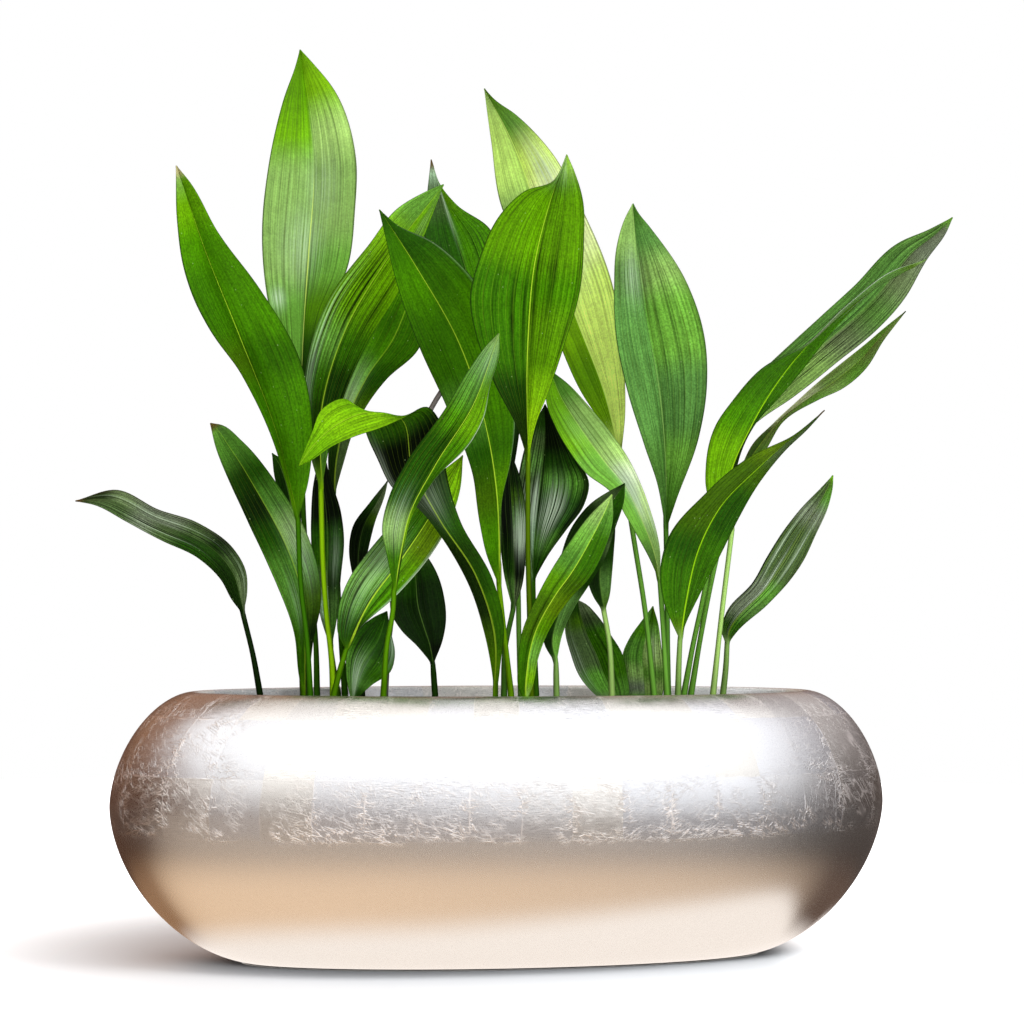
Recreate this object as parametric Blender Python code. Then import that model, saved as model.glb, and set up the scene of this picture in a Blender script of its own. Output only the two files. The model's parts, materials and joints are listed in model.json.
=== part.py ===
"""Potted cast iron plant: a long silver-leafed planter, its soil, and the leaves that stand in it.

Metres, +Z up. X runs along the planter, the viewer looks along +Y, and the origin is the middle of
the flat base, on the surface that the planter stands on.
"""

import math

import bmesh
import bpy
import numpy as np

# Planter: an oval bowl, widest a little above half height, drawn in to the base and to the rim
PLANTER_HEIGHT = 0.278
WIDEST_HALF_LENGTH = 0.410
WIDEST_HALF_DEPTH = 0.158
WIDEST_HEIGHT = 0.161
BASE_DRAW_IN = 0.150
RIM_DRAW_IN = 0.084
DEPTH_DRAW_IN_SHARE = 0.5
WALL_ROUNDNESS = 1.75
WALL = 0.008
LIP_STEPS = 3
PLANTER_SEGMENTS = 40
BASE_ARC_STEPS = 7
RIM_ARC_STEPS = 7

# Soil: fills the bowl to below the rim, a little mounded, with shallow ripples (radians per metre)
SOIL_LEVEL = 0.247
SOIL_MOUND = 0.004
SOIL_RIPPLE = 0.002
RIPPLE_ALONG = 38.0
RIPPLE_DEEP = 47.0
RIPPLE_SLANT = 21.0
RIPPLE_START = 1.3
SOIL_TOP_SHARES = (0.80, 0.50, 0.20)
SOIL_GAP = 0.0003
HOLE_DEPTH = 0.045
HOLE_SIDES = 8

# Eye point from which the leaves were measured, and the picture's scale, tilt and roll (radians)
EYE_ACROSS = 0.006
EYE_DISTANCE = 2.865
EYE_HEIGHT = 0.417
EYE_TURN = math.radians(10.6)
EYE_RAISE = 0.0169
PICTURE_ROLL = 0.0054
PICTURE_MIDDLE = 512
PIXELS_PER_SLOPE = 2731

# Leaves: stalk, blade and their thicknesses
STALK_RADIUS = 0.0027
FOOT_RADIUS = 0.0034
STRAIGHT_STALK = 0.006
SHEATH_LENGTH = 0.05
TIP_RADIUS = 0.0008
EDGE_ROUND = 0.38
EDGE_HALF_THICKNESS = 0.00036
BLADE_HALF_THICKNESS = 0.00048
RIB_HALF_THICKNESS = 0.0011
THINNEST_RIB_SHARE = 0.5
TIP_SHARE = 0.988
BLADE_STATION = 0.034
STALK_STATION = 0.060
FEWEST_BLADE_STEPS = 6
ARCH_SHARE = 0.07
LIFT_FULLNESS = 0.6
WAVE_HEIGHT = 0.0028
WAVE_LENGTH = 0.115
WAVE_SHIFT_BY_LEAF = 1.7
WAVE_SHIFT_BY_SIDE = 1.1
ACROSS = np.array([-1.0, -0.5, 0.0, 0.5, 1.0])
SHARP_ANGLE = math.radians(50)

# Each leaf's stalk, edges, midrib and tip, from the soil up, read by eye off a photograph of 1024 by
# 1024 pixels: pixels from its left side, then from its top. on_plane turns them into metres. depth is
# how far behind the planter's middle the foot, the blade's base, its middle and its tip lie, and lift
# how far behind the midrib the left and right edges lie, both in metres.
LEAVES = {
    "leaf_01": dict(
        stalk=[(260, 694), (253, 655), (243, 614)],
        left=[(232, 600), (221, 580), (198, 558), (163, 541), (125, 521), (94, 505)],
        right=[(247, 593), (246, 572), (233, 548), (198, 523), (159, 510), (117, 490)],
        tip=(75, 501), depth=(-0.045, -0.055, -0.090, -0.120), lift=(-0.026, 0.030)),
    "leaf_02": dict(
        stalk=[(304, 712), (304, 702)],
        left=[(299, 675), (294, 633), (278, 587), (248, 522), (230, 483), (215, 445)],
        right=[(309, 675), (313, 643), (321, 600), (308, 536), (280, 488), (242, 441), (222, 425)],
        tip=(210, 423), depth=(-0.040, -0.040, -0.010, 0.020), lift=(-0.020, 0.010)),
    "leaf_03": dict(
        stalk=[(303, 694), (300, 630), (296, 560)],
        left=[(288, 528), (280, 500), (274, 474)],
        right=[(301, 525), (298, 490), (286, 462)],
        tip=(272, 453), depth=(0.020, 0.035, 0.045, 0.050), lift=(-0.006, 0.006)),
    "leaf_04": dict(
        stalk=[(310, 694), (307, 639), (301, 587), (298, 520)],
        left=[(288, 488), (268, 428), (240, 372), (207, 325), (186, 277), (177, 220)],
        right=[(309, 478), (312, 420), (299, 357), (262, 292), (218, 232), (190, 182)],
        rib=[(276, 433), (240, 338), (205, 250)],
        tip=(176, 165), depth=(-0.080, -0.085, -0.120, -0.160), lift=(-0.034, -0.006)),
    "leaf_05": dict(
        stalk=[(317, 694), (316, 646), (305, 540), (301, 440)],
        left=[(284, 370), (266, 290), (262, 240), (268, 169), (284, 98), (296, 64)],
        right=[(310, 365), (326, 309), (345, 275), (355, 210), (356, 158), (335, 91), (312, 62)],
        rib=[(303, 340), (309, 250), (314, 170)],
        tip=(300, 49), depth=(0.020, 0.040, 0.070, 0.110), lift=(-0.022, -0.010)),
    "leaf_06": dict(
        stalk=[(333, 694), (332, 667), (326, 610), (323, 564), (321, 492)],
        left=[(307, 440), (304, 385), (309, 353), (329, 298), (369, 245), (398, 208), (425, 192)],
        right=[(331, 440), (348, 385), (368, 342), (398, 293), (424, 236), (436, 205)],
        rib=[(321, 410), (345, 330), (385, 262)],
        tip=(444, 184), depth=(-0.030, -0.030, -0.030, -0.030), lift=(-0.026, 0.014)),
    "leaf_07": dict(
        stalk=[(345, 694), (341, 640), (337, 570), (333, 500)],
        left=[(328, 462), (340, 400), (366, 332), (402, 270)],
        right=[(343, 465), (354, 430), (386, 380), (418, 350), (432, 300)],
        tip=(432, 240), depth=(0.045, 0.050, 0.060, 0.080), lift=(-0.008, 0.006)),
    "leaf_08": dict(
        stalk=[(338, 694), (334, 672), (331, 650)],
        left=[(320, 615), (313, 570), (311, 520), (314, 480)],
        right=[(337, 618), (341, 575), (344, 541), (341, 512), (331, 480)],
        tip=(323, 448), depth=(0.006, 0.006, 0.008, 0.010), lift=(-0.002, 0.008)),
    "leaf_09": dict(
        stalk=[(334, 694), (340, 670), (346, 650)],
        left=[(338, 634), (338, 612), (350, 577), (364, 557), (400, 515), (432, 480)],
        right=[(359, 630), (396, 596), (428, 559), (446, 530), (460, 490)],
        rib=[(369, 603), (402, 558), (438, 503)],
        tip=(463, 455), depth=(-0.065, -0.070, -0.070, -0.055), lift=(-0.020, 0.004)),
    "leaf_10": dict(
        stalk=[(352, 712), (352, 703)],
        left=[(346, 675), (347, 652), (358, 630), (374, 617)],
        right=[(372, 685), (391, 671), (395, 655), (391, 632)],
        rib=[(362, 665), (378, 640)],
        tip=(387, 611), depth=(-0.020, -0.020, -0.010, 0.000), lift=(-0.012, 0.006)),
    "leaf_11": dict(
        stalk=[(362, 694), (360, 640), (359, 595)],
        left=[(352, 572), (349, 548), (353, 526), (369, 504)],
        right=[(366, 560), (375, 522), (385, 495)],
        tip=(388, 480), depth=(0.030, 0.030, 0.030, 0.030), lift=(-0.010, 0.008)),
    "leaf_12": dict(
        stalk=[(383.5, 694), (387, 644), (393, 610), (394, 590)],
        left=[(387, 557), (382, 530), (389, 497), (405, 465), (442, 414), (469, 370), (487, 345)],
        right=[(401, 565), (405, 535), (414, 511), (435, 479), (472, 440), (483, 419), (490, 385),
               (499, 353)],
        rib=[(401, 550), (408, 518), (435, 465), (473, 405)],
        tip=(499, 333), depth=(-0.085, -0.110, -0.160, -0.200), lift=(-0.028, 0.020)),
    "leaf_13": dict(
        stalk=[(385, 694), (389, 640), (401, 560), (412, 480), (430, 411), (450, 378)],
        left=[(452, 350), (458, 310), (470, 270), (485, 240)],
        right=[(474, 362), (497, 328), (511, 290), (514, 250)],
        tip=(503, 222), depth=(0.035, 0.125, 0.180, 0.215), lift=(-0.014, 0.020)),
    "leaf_14": dict(
        stalk=[(435, 694), (434, 680), (433, 665)],
        left=[(417, 646), (401, 630), (391, 612), (392, 588), (402, 562)],
        right=[(443, 639), (446, 621), (444, 596), (437, 573), (425, 554)],
        tip=(412, 543), depth=(0.005, 0.005, 0.010, 0.020), lift=(-0.016, 0.002)),
    "leaf_15": dict(
        stalk=[(495.5, 712), (495.5, 702)],
        left=[(491, 665), (483, 628), (474, 598), (442, 538), (421, 511), (391, 486), (377, 458),
              (367, 436), (360, 412), (345, 399), (322, 409), (312, 432)],
        right=[(500, 668), (504, 625), (493, 580), (460, 520), (446, 470), (442, 425), (428, 407),
               (402, 419), (381, 428), (356, 436), (331, 447), (312, 460)],
        rib=[(494, 630), (476, 575), (440, 520), (412, 466), (400, 418), (372, 412), (338, 424),
             (312, 447)],
        tip=(298, 467), depth=(-0.060, -0.060, -0.105, -0.150), lift=(0.006, -0.006), station=0.020),
    "leaf_16": dict(
        stalk=[(504, 694), (505, 650), (513, 610)],
        left=[(504, 575), (500, 540), (498, 505), (501, 472)],
        right=[(521, 590), (526, 550), (526, 510), (519, 474)],
        tip=(508, 446), depth=(0.030, 0.020, 0.020, 0.020), lift=(-0.006, 0.004)),
    "leaf_17": dict(
        stalk=[(511, 694), (505, 640), (499, 586)],
        left=[(487, 556), (480, 525), (472, 472), (448, 410), (421, 351), (401, 298), (386, 240)],
        right=[(501, 545), (502, 499), (511, 460), (515, 426), (507, 350), (470, 275), (435, 243),
               (396, 224)],
        rib=[(497, 499), (488, 437), (458, 341), (418, 270)],
        tip=(379, 209), depth=(-0.020, -0.030, -0.050, -0.090), lift=(-0.022, 0.004)),
    "leaf_18": dict(
        stalk=[(521, 694), (519, 640), (518, 587), (510, 490)],
        left=[(485, 420), (455, 350), (432, 290), (424, 240), (427, 195)],
        right=[(520, 425), (515, 330), (505, 265), (490, 229), (456, 204), (440, 184)],
        rib=[(496, 400), (466, 270), (447, 210)],
        tip=(431, 159), depth=(0.060, 0.090, 0.130, 0.170), lift=(-0.024, -0.004)),
    "leaf_19": dict(
        stalk=[(525, 712), (525, 704)],
        left=[(518, 686), (518, 665), (521, 637), (539, 593), (569, 543), (590, 515)],
        right=[(532, 688), (539, 655), (549, 630), (571, 598), (588, 580), (604, 550), (613, 518)],
        tip=(612, 494), depth=(-0.080, -0.080, -0.110, -0.130), lift=(-0.014, 0.018)),
    "leaf_20": dict(
        stalk=[(531, 694), (530, 640), (528, 550), (528, 462)],
        left=[(518, 430), (493, 380), (476, 335), (470, 300), (481, 254), (500, 215), (525, 191),
              (553, 181)],
        right=[(536, 424), (549, 391), (566, 340), (580, 291), (584, 240), (583, 200), (574, 170)],
        rib=[(527, 415), (528, 340), (535, 262), (550, 202)],
        tip=(567, 154), depth=(-0.030, -0.080, -0.125, -0.120), lift=(-0.026, -0.010)),
    "leaf_21": dict(
        stalk=[(536, 694), (534, 630), (533, 582)],
        left=[(520, 552), (515, 518), (519, 472), (531, 430)],
        right=[(549, 554), (567, 529), (584, 505), (589, 483), (578, 460), (558, 425)],
        rib=[(534, 540), (539, 490), (545, 440)],
        tip=(545, 404), depth=(0.030, 0.035, 0.040, 0.045), lift=(-0.012, -0.010)),
    "leaf_22": dict(
        stalk=[(556.5, 694), (556, 664)],
        left=[(544, 643), (548, 610), (556, 575), (573, 525), (590, 504), (611, 490)],
        right=[(562, 636), (576, 605), (590, 584), (604, 561), (615, 529), (624, 500)],
        tip=(625, 483), depth=(-0.020, -0.020, -0.035, -0.055), lift=(-0.006, 0.014)),
    "leaf_23": dict(
        stalk=[(612, 694), (609, 640), (604, 612)],
        left=[(594, 598), (588, 582), (590, 550), (598, 522)],
        right=[(609, 598), (612, 575), (614, 550), (615, 524)],
        tip=(611, 500), depth=(-0.010, -0.010, -0.005, 0.000), lift=(-0.008, 0.008)),
    "leaf_24": dict(
        stalk=[(614, 713), (614, 708)],
        left=[(598, 697), (580, 677), (571, 655), (565, 626), (569, 608)],
        right=[(628, 697), (627, 674), (622, 653), (611, 635), (597, 615), (586, 604)],
        tip=(578, 600), depth=(0.030, 0.030, 0.035, 0.040), lift=(-0.012, -0.004)),
    "leaf_25": dict(
        stalk=[(646, 713), (646, 708)],
        left=[(630, 697), (624, 675), (623, 653), (629, 639), (643, 619)],
        right=[(661, 697), (664, 675), (661, 644), (658, 623)],
        tip=(653, 606), depth=(0.055, 0.055, 0.060, 0.065), lift=(-0.004, -0.012)),
    "leaf_26": dict(
        stalk=[(654, 694), (645, 610), (633, 534), (621, 455)],
        left=[(606, 430), (580, 390), (560, 345), (540, 290), (520, 245), (503, 211), (491, 140)],
        right=[(625, 414), (624, 365), (611, 280), (584, 213), (552, 153), (515, 114), (494, 99)],
        rib=[(605, 393), (577, 319), (540, 218), (511, 139)],
        tip=(484, 88), depth=(0.020, 0.060, 0.100, 0.140), lift=(0.004, -0.030)),
    "leaf_27": dict(
        stalk=[(667, 694), (663, 625), (660, 582)],
        left=[(652, 564), (627, 518), (611, 492), (585, 472), (569, 451), (555, 426), (546, 400)],
        right=[(660, 550), (650, 509), (627, 456), (611, 433), (588, 405), (566, 382)],
        tip=(550, 370), depth=(-0.030, -0.030, -0.010, 0.000), lift=(-0.014, -0.002)),
    "leaf_28": dict(
        stalk=[(668, 694), (667, 591), (666, 530)],
        left=[(657, 483), (644, 444), (626, 385), (616, 335), (614, 288), (617, 245), (625, 218)],
        right=[(676, 501), (699, 437), (707, 385), (705, 340), (687, 283), (650, 227), (638, 212)],
        rib=[(665, 455), (660, 395), (645, 310), (636, 240)],
        tip=(633, 203), depth=(0.025, 0.020, 0.020, 0.030), lift=(-0.018, -0.014)),
    "leaf_29": dict(
        stalk=[(678, 694), (679, 660), (680, 640)],
        left=[(672, 623), (663, 600), (660, 575), (668, 538), (707, 492), (751, 456), (794, 435)],
        right=[(686, 623), (698, 598), (723, 550), (737, 522), (755, 490), (787, 449), (808, 429)],
        rib=[(686, 600), (700, 545), (720, 507), (760, 466)],
        tip=(825, 410), depth=(-0.030, -0.040, -0.085, -0.120), lift=(-0.026, 0.018)),
    "leaf_30": dict(
        stalk=[(684, 694), (692, 650), (707, 577), (714, 500)],
        left=[(714, 455), (730, 412), (751, 383), (797, 338), (853, 287), (898, 243), (930, 229)],
        right=[(726, 465), (751, 428), (795, 396), (840, 360), (880, 327), (905, 298), (928, 258),
               (946, 233)],
        tip=(953, 217), depth=(0.050, 0.060, 0.080, 0.100), lift=(0.022, -0.026)),
    "leaf_31": dict(
        stalk=[(691, 694), (700, 640), (716, 560), (737, 478)],
        left=[(754, 442), (774, 423), (816, 384), (864, 345), (892, 322)],
        right=[(762, 455), (784, 421), (818, 400), (843, 388), (866, 368), (884, 340)],
        tip=(906, 311), depth=(0.085, 0.100, 0.120, 0.140), lift=(0.024, -0.026)),
    "leaf_32": dict(
        stalk=[(713, 694), (721, 620), (732, 530)],
        left=[(716, 512), (707, 493), (706, 465), (716, 425), (733, 400), (760, 370), (807, 343),
              (848, 304), (890, 272)],
        right=[(735, 497), (737, 467), (754, 426), (779, 398), (800, 373), (841, 322), (887, 279),
               (915, 266)],
        rib=[(729, 480), (751, 426), (791, 364), (850, 306)],
        tip=(927, 259), depth=(0.020, 0.000, 0.000, -0.010), lift=(-0.026, 0.012)),
    "leaf_33": dict(
        stalk=[(723, 694), (726, 665), (727, 645)],
        left=[(721, 630), (726, 613), (753, 582), (767, 557), (785, 529), (799, 511), (822, 487)],
        right=[(736, 633), (767, 605), (790, 580), (803, 561), (815, 536), (829, 504), (833, 485)],
        tip=(833, 475), depth=(0.050, 0.040, 0.020, 0.000), lift=(-0.018, 0.024)),
}

SILVER = dict(colour=(0.78, 0.75, 0.70), roughness=0.32, metallic=1.0)
EARTH = dict(colour=(0.045, 0.030, 0.020), roughness=0.95, metallic=0.0)
MID_GREEN = dict(colour=(0.070, 0.230, 0.030), roughness=0.40, metallic=0.0)
LIGHT_GREEN = dict(colour=(0.200, 0.420, 0.060), roughness=0.40, metallic=0.0)
DARK_GREEN = dict(colour=(0.012, 0.060, 0.016), roughness=0.35, metallic=0.0)
LIGHT_LEAVES = ("leaf_05", "leaf_26", "leaf_27")
DARK_LEAVES = ("leaf_01", "leaf_03", "leaf_08", "leaf_10", "leaf_11", "leaf_13", "leaf_14", "leaf_16",
               "leaf_18", "leaf_21", "leaf_22", "leaf_23", "leaf_24", "leaf_25", "leaf_30")


def clear_scene():
    for obj in list(bpy.data.objects):
        bpy.data.objects.remove(obj, do_unlink=True)


def finish_of(name, colour, roughness, metallic):
    material = bpy.data.materials.new(name)
    material.use_nodes = True
    shader = material.node_tree.nodes["Principled BSDF"]
    shader.inputs["Base Color"].default_value = (*colour, 1.0)
    shader.inputs["Roughness"].default_value = roughness
    shader.inputs["Metallic"].default_value = metallic
    material.diffuse_color = (*colour, 1.0)
    return material


def object_from(name, points, faces, finish):
    """A smooth-shaded mesh object."""
    mesh = bpy.data.meshes.new(name)
    mesh.from_pydata([tuple(point) for point in points], [], faces)
    mesh.shade_smooth()
    mesh.set_sharp_from_angle(angle=SHARP_ANGLE)
    if finish:
        mesh.materials.append(finish_of(name + "_finish", **finish))
    obj = bpy.data.objects.new(name, mesh)
    bpy.context.scene.collection.objects.link(obj)
    return obj


def ring_faces(rows, count, first=0):
    """Quads between rings of points that follow one another, each ring with this many points."""
    return [(first + row * count + k, first + row * count + (k + 1) % count,
             first + (row + 1) * count + (k + 1) % count, first + (row + 1) * count + k)
            for row in range(rows - 1) for k in range(count)]


def split(quads, rising=True):
    """Each quad as two triangles, along its rising or its falling diagonal."""
    if rising:
        return [face for a, b, c, d in quads for face in ((a, b, c), (a, c, d))]
    return [face for a, b, c, d in quads for face in ((a, b, d), (b, c, d))]


def end_faces(rows, count, first=0):
    """The faces that close the first and the last ring."""
    last = first + (rows - 1) * count
    return [tuple(range(first + count - 1, first - 1, -1)), tuple(range(last, last + count))]


def wall_draw_in(height):
    """How far the bowl's outside is drawn in from its widest line at this height."""
    if height < WIDEST_HEIGHT:
        share, most = (WIDEST_HEIGHT - height) / WIDEST_HEIGHT, BASE_DRAW_IN
    else:
        share, most = (height - WIDEST_HEIGHT) / (PLANTER_HEIGHT - WIDEST_HEIGHT), RIM_DRAW_IN
    share = min(share, 1.0)
    return most * (1.0 - (1.0 - share**WALL_ROUNDNESS) ** (1.0 / WALL_ROUNDNESS))


def wall_heights():
    """Heights of the bowl's rings, closer together where the wall turns in to the base and the rim."""
    quarter = math.pi / 2
    below = [WIDEST_HEIGHT * (1 - math.cos(quarter * k / BASE_ARC_STEPS)) for k in range(BASE_ARC_STEPS)]
    rise = PLANTER_HEIGHT - WIDEST_HEIGHT
    above = [WIDEST_HEIGHT + rise * math.sin(quarter * k / RIM_ARC_STEPS) for k in range(RIM_ARC_STEPS + 1)]
    return below + above


def wall_rings(inward):
    """The bowl's skin as rings of points, bottom ring first, moved inward at right angles to the wall."""
    turns = [2 * math.pi * k / PLANTER_SEGMENTS for k in range(PLANTER_SEGMENTS)]
    skin = bmesh.new()
    corners = []
    for height in wall_heights():
        drawn_in = wall_draw_in(height)
        half_length = WIDEST_HALF_LENGTH - drawn_in
        half_depth = WIDEST_HALF_DEPTH - DEPTH_DRAW_IN_SHARE * drawn_in
        for turn in turns:
            place = (half_length * math.cos(turn), half_depth * math.sin(turn), height)
            corners.append(skin.verts.new(place))
    rows = len(corners) // PLANTER_SEGMENTS
    for face in ring_faces(rows, PLANTER_SEGMENTS):
        skin.faces.new([corners[k] for k in face])
    skin.faces.new(corners[:PLANTER_SEGMENTS][::-1])
    skin.normal_update()
    rings = np.array([corner.co - corner.normal * inward for corner in corners])
    skin.free()
    rings = rings.reshape(rows, PLANTER_SEGMENTS, 3)
    rings[0, :, 2] = inward
    return rings


def make_planter():
    outer, inner = wall_rings(0.0), wall_rings(WALL)
    middle = (outer[-1] + inner[-1]) / 2
    across = (outer[-1] - inner[-1]) / 2
    onward = outer[-1] - outer[-2] + inner[-1] - inner[-2]
    onward *= WALL / 2 / np.linalg.norm(onward, axis=1, keepdims=True)
    lip = [middle + across * math.cos(math.pi * k / LIP_STEPS) + onward * math.sin(math.pi * k / LIP_STEPS)
           for k in range(1, LIP_STEPS)]
    rings = [*outer, *lip, *inner[::-1]]
    quads = ring_faces(len(rings), PLANTER_SEGMENTS)
    outside = (len(outer) + len(lip)) * PLANTER_SEGMENTS
    faces = split(quads[:outside]) + split(quads[outside:], rising=False)
    faces += end_faces(len(rings), PLANTER_SEGMENTS)
    return object_from("planter", np.concatenate(rings), faces, SILVER)


def soil_height(across, depth):
    """Height of the soil's top: mounded to the middle, with shallow ripples."""
    mound = SOIL_MOUND * (1 - (across / WIDEST_HALF_LENGTH) ** 2)
    along = math.sin(RIPPLE_ALONG * across + RIPPLE_START)
    return SOIL_LEVEL + mound + SOIL_RIPPLE * along * math.cos(RIPPLE_DEEP * depth + RIPPLE_SLANT * across)


def make_soil(feet):
    skin = wall_rings(WALL + SOIL_GAP)
    below = sum(ring[:, 2].max() < SOIL_LEVEL for ring in skin)
    share = (SOIL_LEVEL - skin[below - 1][:, 2:]) / (skin[below][:, 2:] - skin[below - 1][:, 2:])
    edge = skin[below - 1] + (skin[below] - skin[below - 1]) * share
    rings = [*skin[:below], edge]
    for share in SOIL_TOP_SHARES:
        inner = edge[:, :2] * share
        rings.append(np.array([(x, y, soil_height(x, y)) for x, y in inner]))
    faces = split(ring_faces(len(rings), PLANTER_SEGMENTS)) + end_faces(len(rings), PLANTER_SEGMENTS)
    soil = object_from("soil", np.concatenate(rings), faces, EARTH)
    cut = soil.modifiers.new("Holes", "BOOLEAN")
    cut.operation = "DIFFERENCE"
    cut.solver = "EXACT"
    cut.object = make_holes(feet)
    return soil


def make_holes(feet):
    """One cutter: an upright prism round each stalk's foot, a little wider than the stalk."""
    points, faces = [], []
    widest = FOOT_RADIUS * math.hypot(1, EDGE_ROUND)
    radius = (widest + SOIL_GAP) / math.cos(math.pi / HOLE_SIDES)
    bottom, top = SOIL_LEVEL - HOLE_DEPTH - SOIL_GAP, SOIL_LEVEL + HOLE_DEPTH
    turns = [2 * math.pi * k / HOLE_SIDES for k in range(HOLE_SIDES)]
    for x, y in feet:
        first = len(points)
        for height in (bottom, top):
            points += [(x + radius * math.cos(turn), y + radius * math.sin(turn), height) for turn in turns]
        faces += ring_faces(2, HOLE_SIDES, first) + end_faces(2, HOLE_SIDES, first)
    holes = object_from("soil_holes", points, faces, None)
    holes.hide_render = True
    holes.display_type = "WIRE"
    return holes


def on_plane(pixels):
    """Points read off the picture, as metres across and up on an upright plane through the middle."""
    off = np.array(pixels, float) - PICTURE_MIDDLE
    cos, sin = math.cos(PICTURE_ROLL), math.sin(PICTURE_ROLL)
    right, down = off[:, 0] * cos + off[:, 1] * sin, off[:, 1] * cos - off[:, 0] * sin
    cos, sin = math.cos(EYE_RAISE), math.sin(EYE_RAISE)
    rise = EYE_DISTANCE * (PIXELS_PER_SLOPE * sin - down * cos) / (PIXELS_PER_SLOPE * cos + down * sin)
    forward = EYE_DISTANCE * cos + rise * sin
    return np.stack([EYE_ACROSS + right * forward / PIXELS_PER_SLOPE, EYE_HEIGHT + rise], axis=1)


def in_metres(leaf):
    """The leaf, with the points read off the picture turned into places on the measuring plane."""
    lines = {line: on_plane(leaf[line]) for line in ("stalk", "left", "right", "rib") if line in leaf}
    return {**leaf, **lines, "tip": on_plane([leaf["tip"]])[0]}


def in_space(seen, depth):
    """Points on the measuring plane, moved along their lines of sight to these depths."""
    away = 1 + depth / EYE_DISTANCE
    across = EYE_ACROSS + (seen[:, 0] - EYE_ACROSS) * away
    height = EYE_HEIGHT + (seen[:, 1] - EYE_HEIGHT) * away
    cos, sin = math.cos(EYE_TURN), math.sin(EYE_TURN)
    return np.stack([across * cos + depth * sin, depth * cos - across * sin, height], axis=1)


def smooth_through(knots, values, places):
    """A smooth curve through the values at the knots, read at the places."""
    knots, values, places = np.array(knots, float), np.array(values, float), np.array(places, float)
    slopes = np.gradient(values, knots, axis=0)
    left = np.clip(np.searchsorted(knots, places, side="right") - 1, 0, len(knots) - 2)
    gap = knots[left + 1] - knots[left]
    t = (places - knots[left]) / gap
    weights = [2 * t**3 - 3 * t**2 + 1, (t**3 - 2 * t**2 + t) * gap, 3 * t**2 - 2 * t**3, (t**3 - t**2) * gap]
    if values.ndim > 1:
        weights = [weight[:, None] for weight in weights]
    return (weights[0] * values[left] + weights[1] * slopes[left]
            + weights[2] * values[left + 1] + weights[3] * slopes[left + 1])


def outline_curve(points, shares):
    """A smooth curve through the points, read at shares of its length."""
    points = np.array(points, float)
    along = np.concatenate([[0.0], np.cumsum(np.linalg.norm(np.diff(points, axis=0), axis=1))])
    return smooth_through(along / along[-1], points, shares)


def length_of(points):
    return float(np.linalg.norm(np.diff(np.array(points), axis=0), axis=1).sum())


def leaf_lines(leaf, number):
    """Left edge, midrib and right edge of a leaf in space, from foot to tip, and its radius there."""
    base, tip = leaf["stalk"][-1], leaf["tip"]
    stalk, blade = length_of(leaf["stalk"]), length_of([base, *leaf.get("rib", ()), tip])
    stalk_steps = max(1, round(stalk / STALK_STATION))
    blade_steps = max(FEWEST_BLADE_STEPS, round(blade / leaf.get("station", BLADE_STATION)))
    stalk_shares = np.arange(stalk_steps) / stalk_steps
    shares = np.arange(blade_steps + 1) / blade_steps * TIP_SHARE
    left = outline_curve([base, *leaf["left"], tip], shares)
    right = outline_curve([base, *leaf["right"], tip], shares)
    rib = outline_curve([base, *leaf["rib"], tip], shares) if "rib" in leaf else (left + right) / 2
    middle = np.concatenate([outline_curve(leaf["stalk"], stalk_shares), rib])
    onward = np.gradient(middle, axis=0)
    side = np.stack([-onward[:, 1], onward[:, 0]], axis=1) / np.linalg.norm(onward, axis=1, keepdims=True)
    swell = np.clip(1 - stalk_shares * stalk / SHEATH_LENGTH, 0, 1)
    radius = np.concatenate([STALK_RADIUS + (FOOT_RADIUS - STALK_RADIUS) * swell,
                             STALK_RADIUS * (1 - shares) + TIP_RADIUS * shares])
    along = np.concatenate([stalk_shares * stalk, stalk + shares * blade])
    depth = smooth_through([0, stalk, stalk + blade / 2, stalk + blade], leaf["depth"], along)
    spread = np.concatenate([np.zeros(stalk_steps), (4 * shares * (1 - shares)) ** LIFT_FULLNESS])
    lines = []
    for sign, edge, lift in ((1, left, leaf["lift"][0]), (-1, right, leaf["lift"][1])):
        reach = np.concatenate([np.zeros((stalk_steps, 2)), edge - rib])
        size = np.linalg.norm(reach, axis=1)
        narrow = size < radius
        narrow_side = side * sign * radius[:, None]
        if narrow[-1]:
            narrow_side[-1] = reach[-1] * radius[-1] / size[-1]
        reach[narrow] = narrow_side[narrow]
        start = WAVE_SHIFT_BY_LEAF * number + WAVE_SHIFT_BY_SIDE * sign
        wave = WAVE_HEIGHT * np.sin(2 * math.pi * along / WAVE_LENGTH + start)
        lines.append(in_space(middle + reach, depth + spread * (lift + wave)))
    return lines[0], in_space(middle, depth), lines[1], radius


def leaf_foot(leaf):
    """Where a leaf's stalk stands in the soil."""
    x, y, _ = in_space(leaf["stalk"][:1], np.array(leaf["depth"][:1]))[0]
    return x, y


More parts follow.
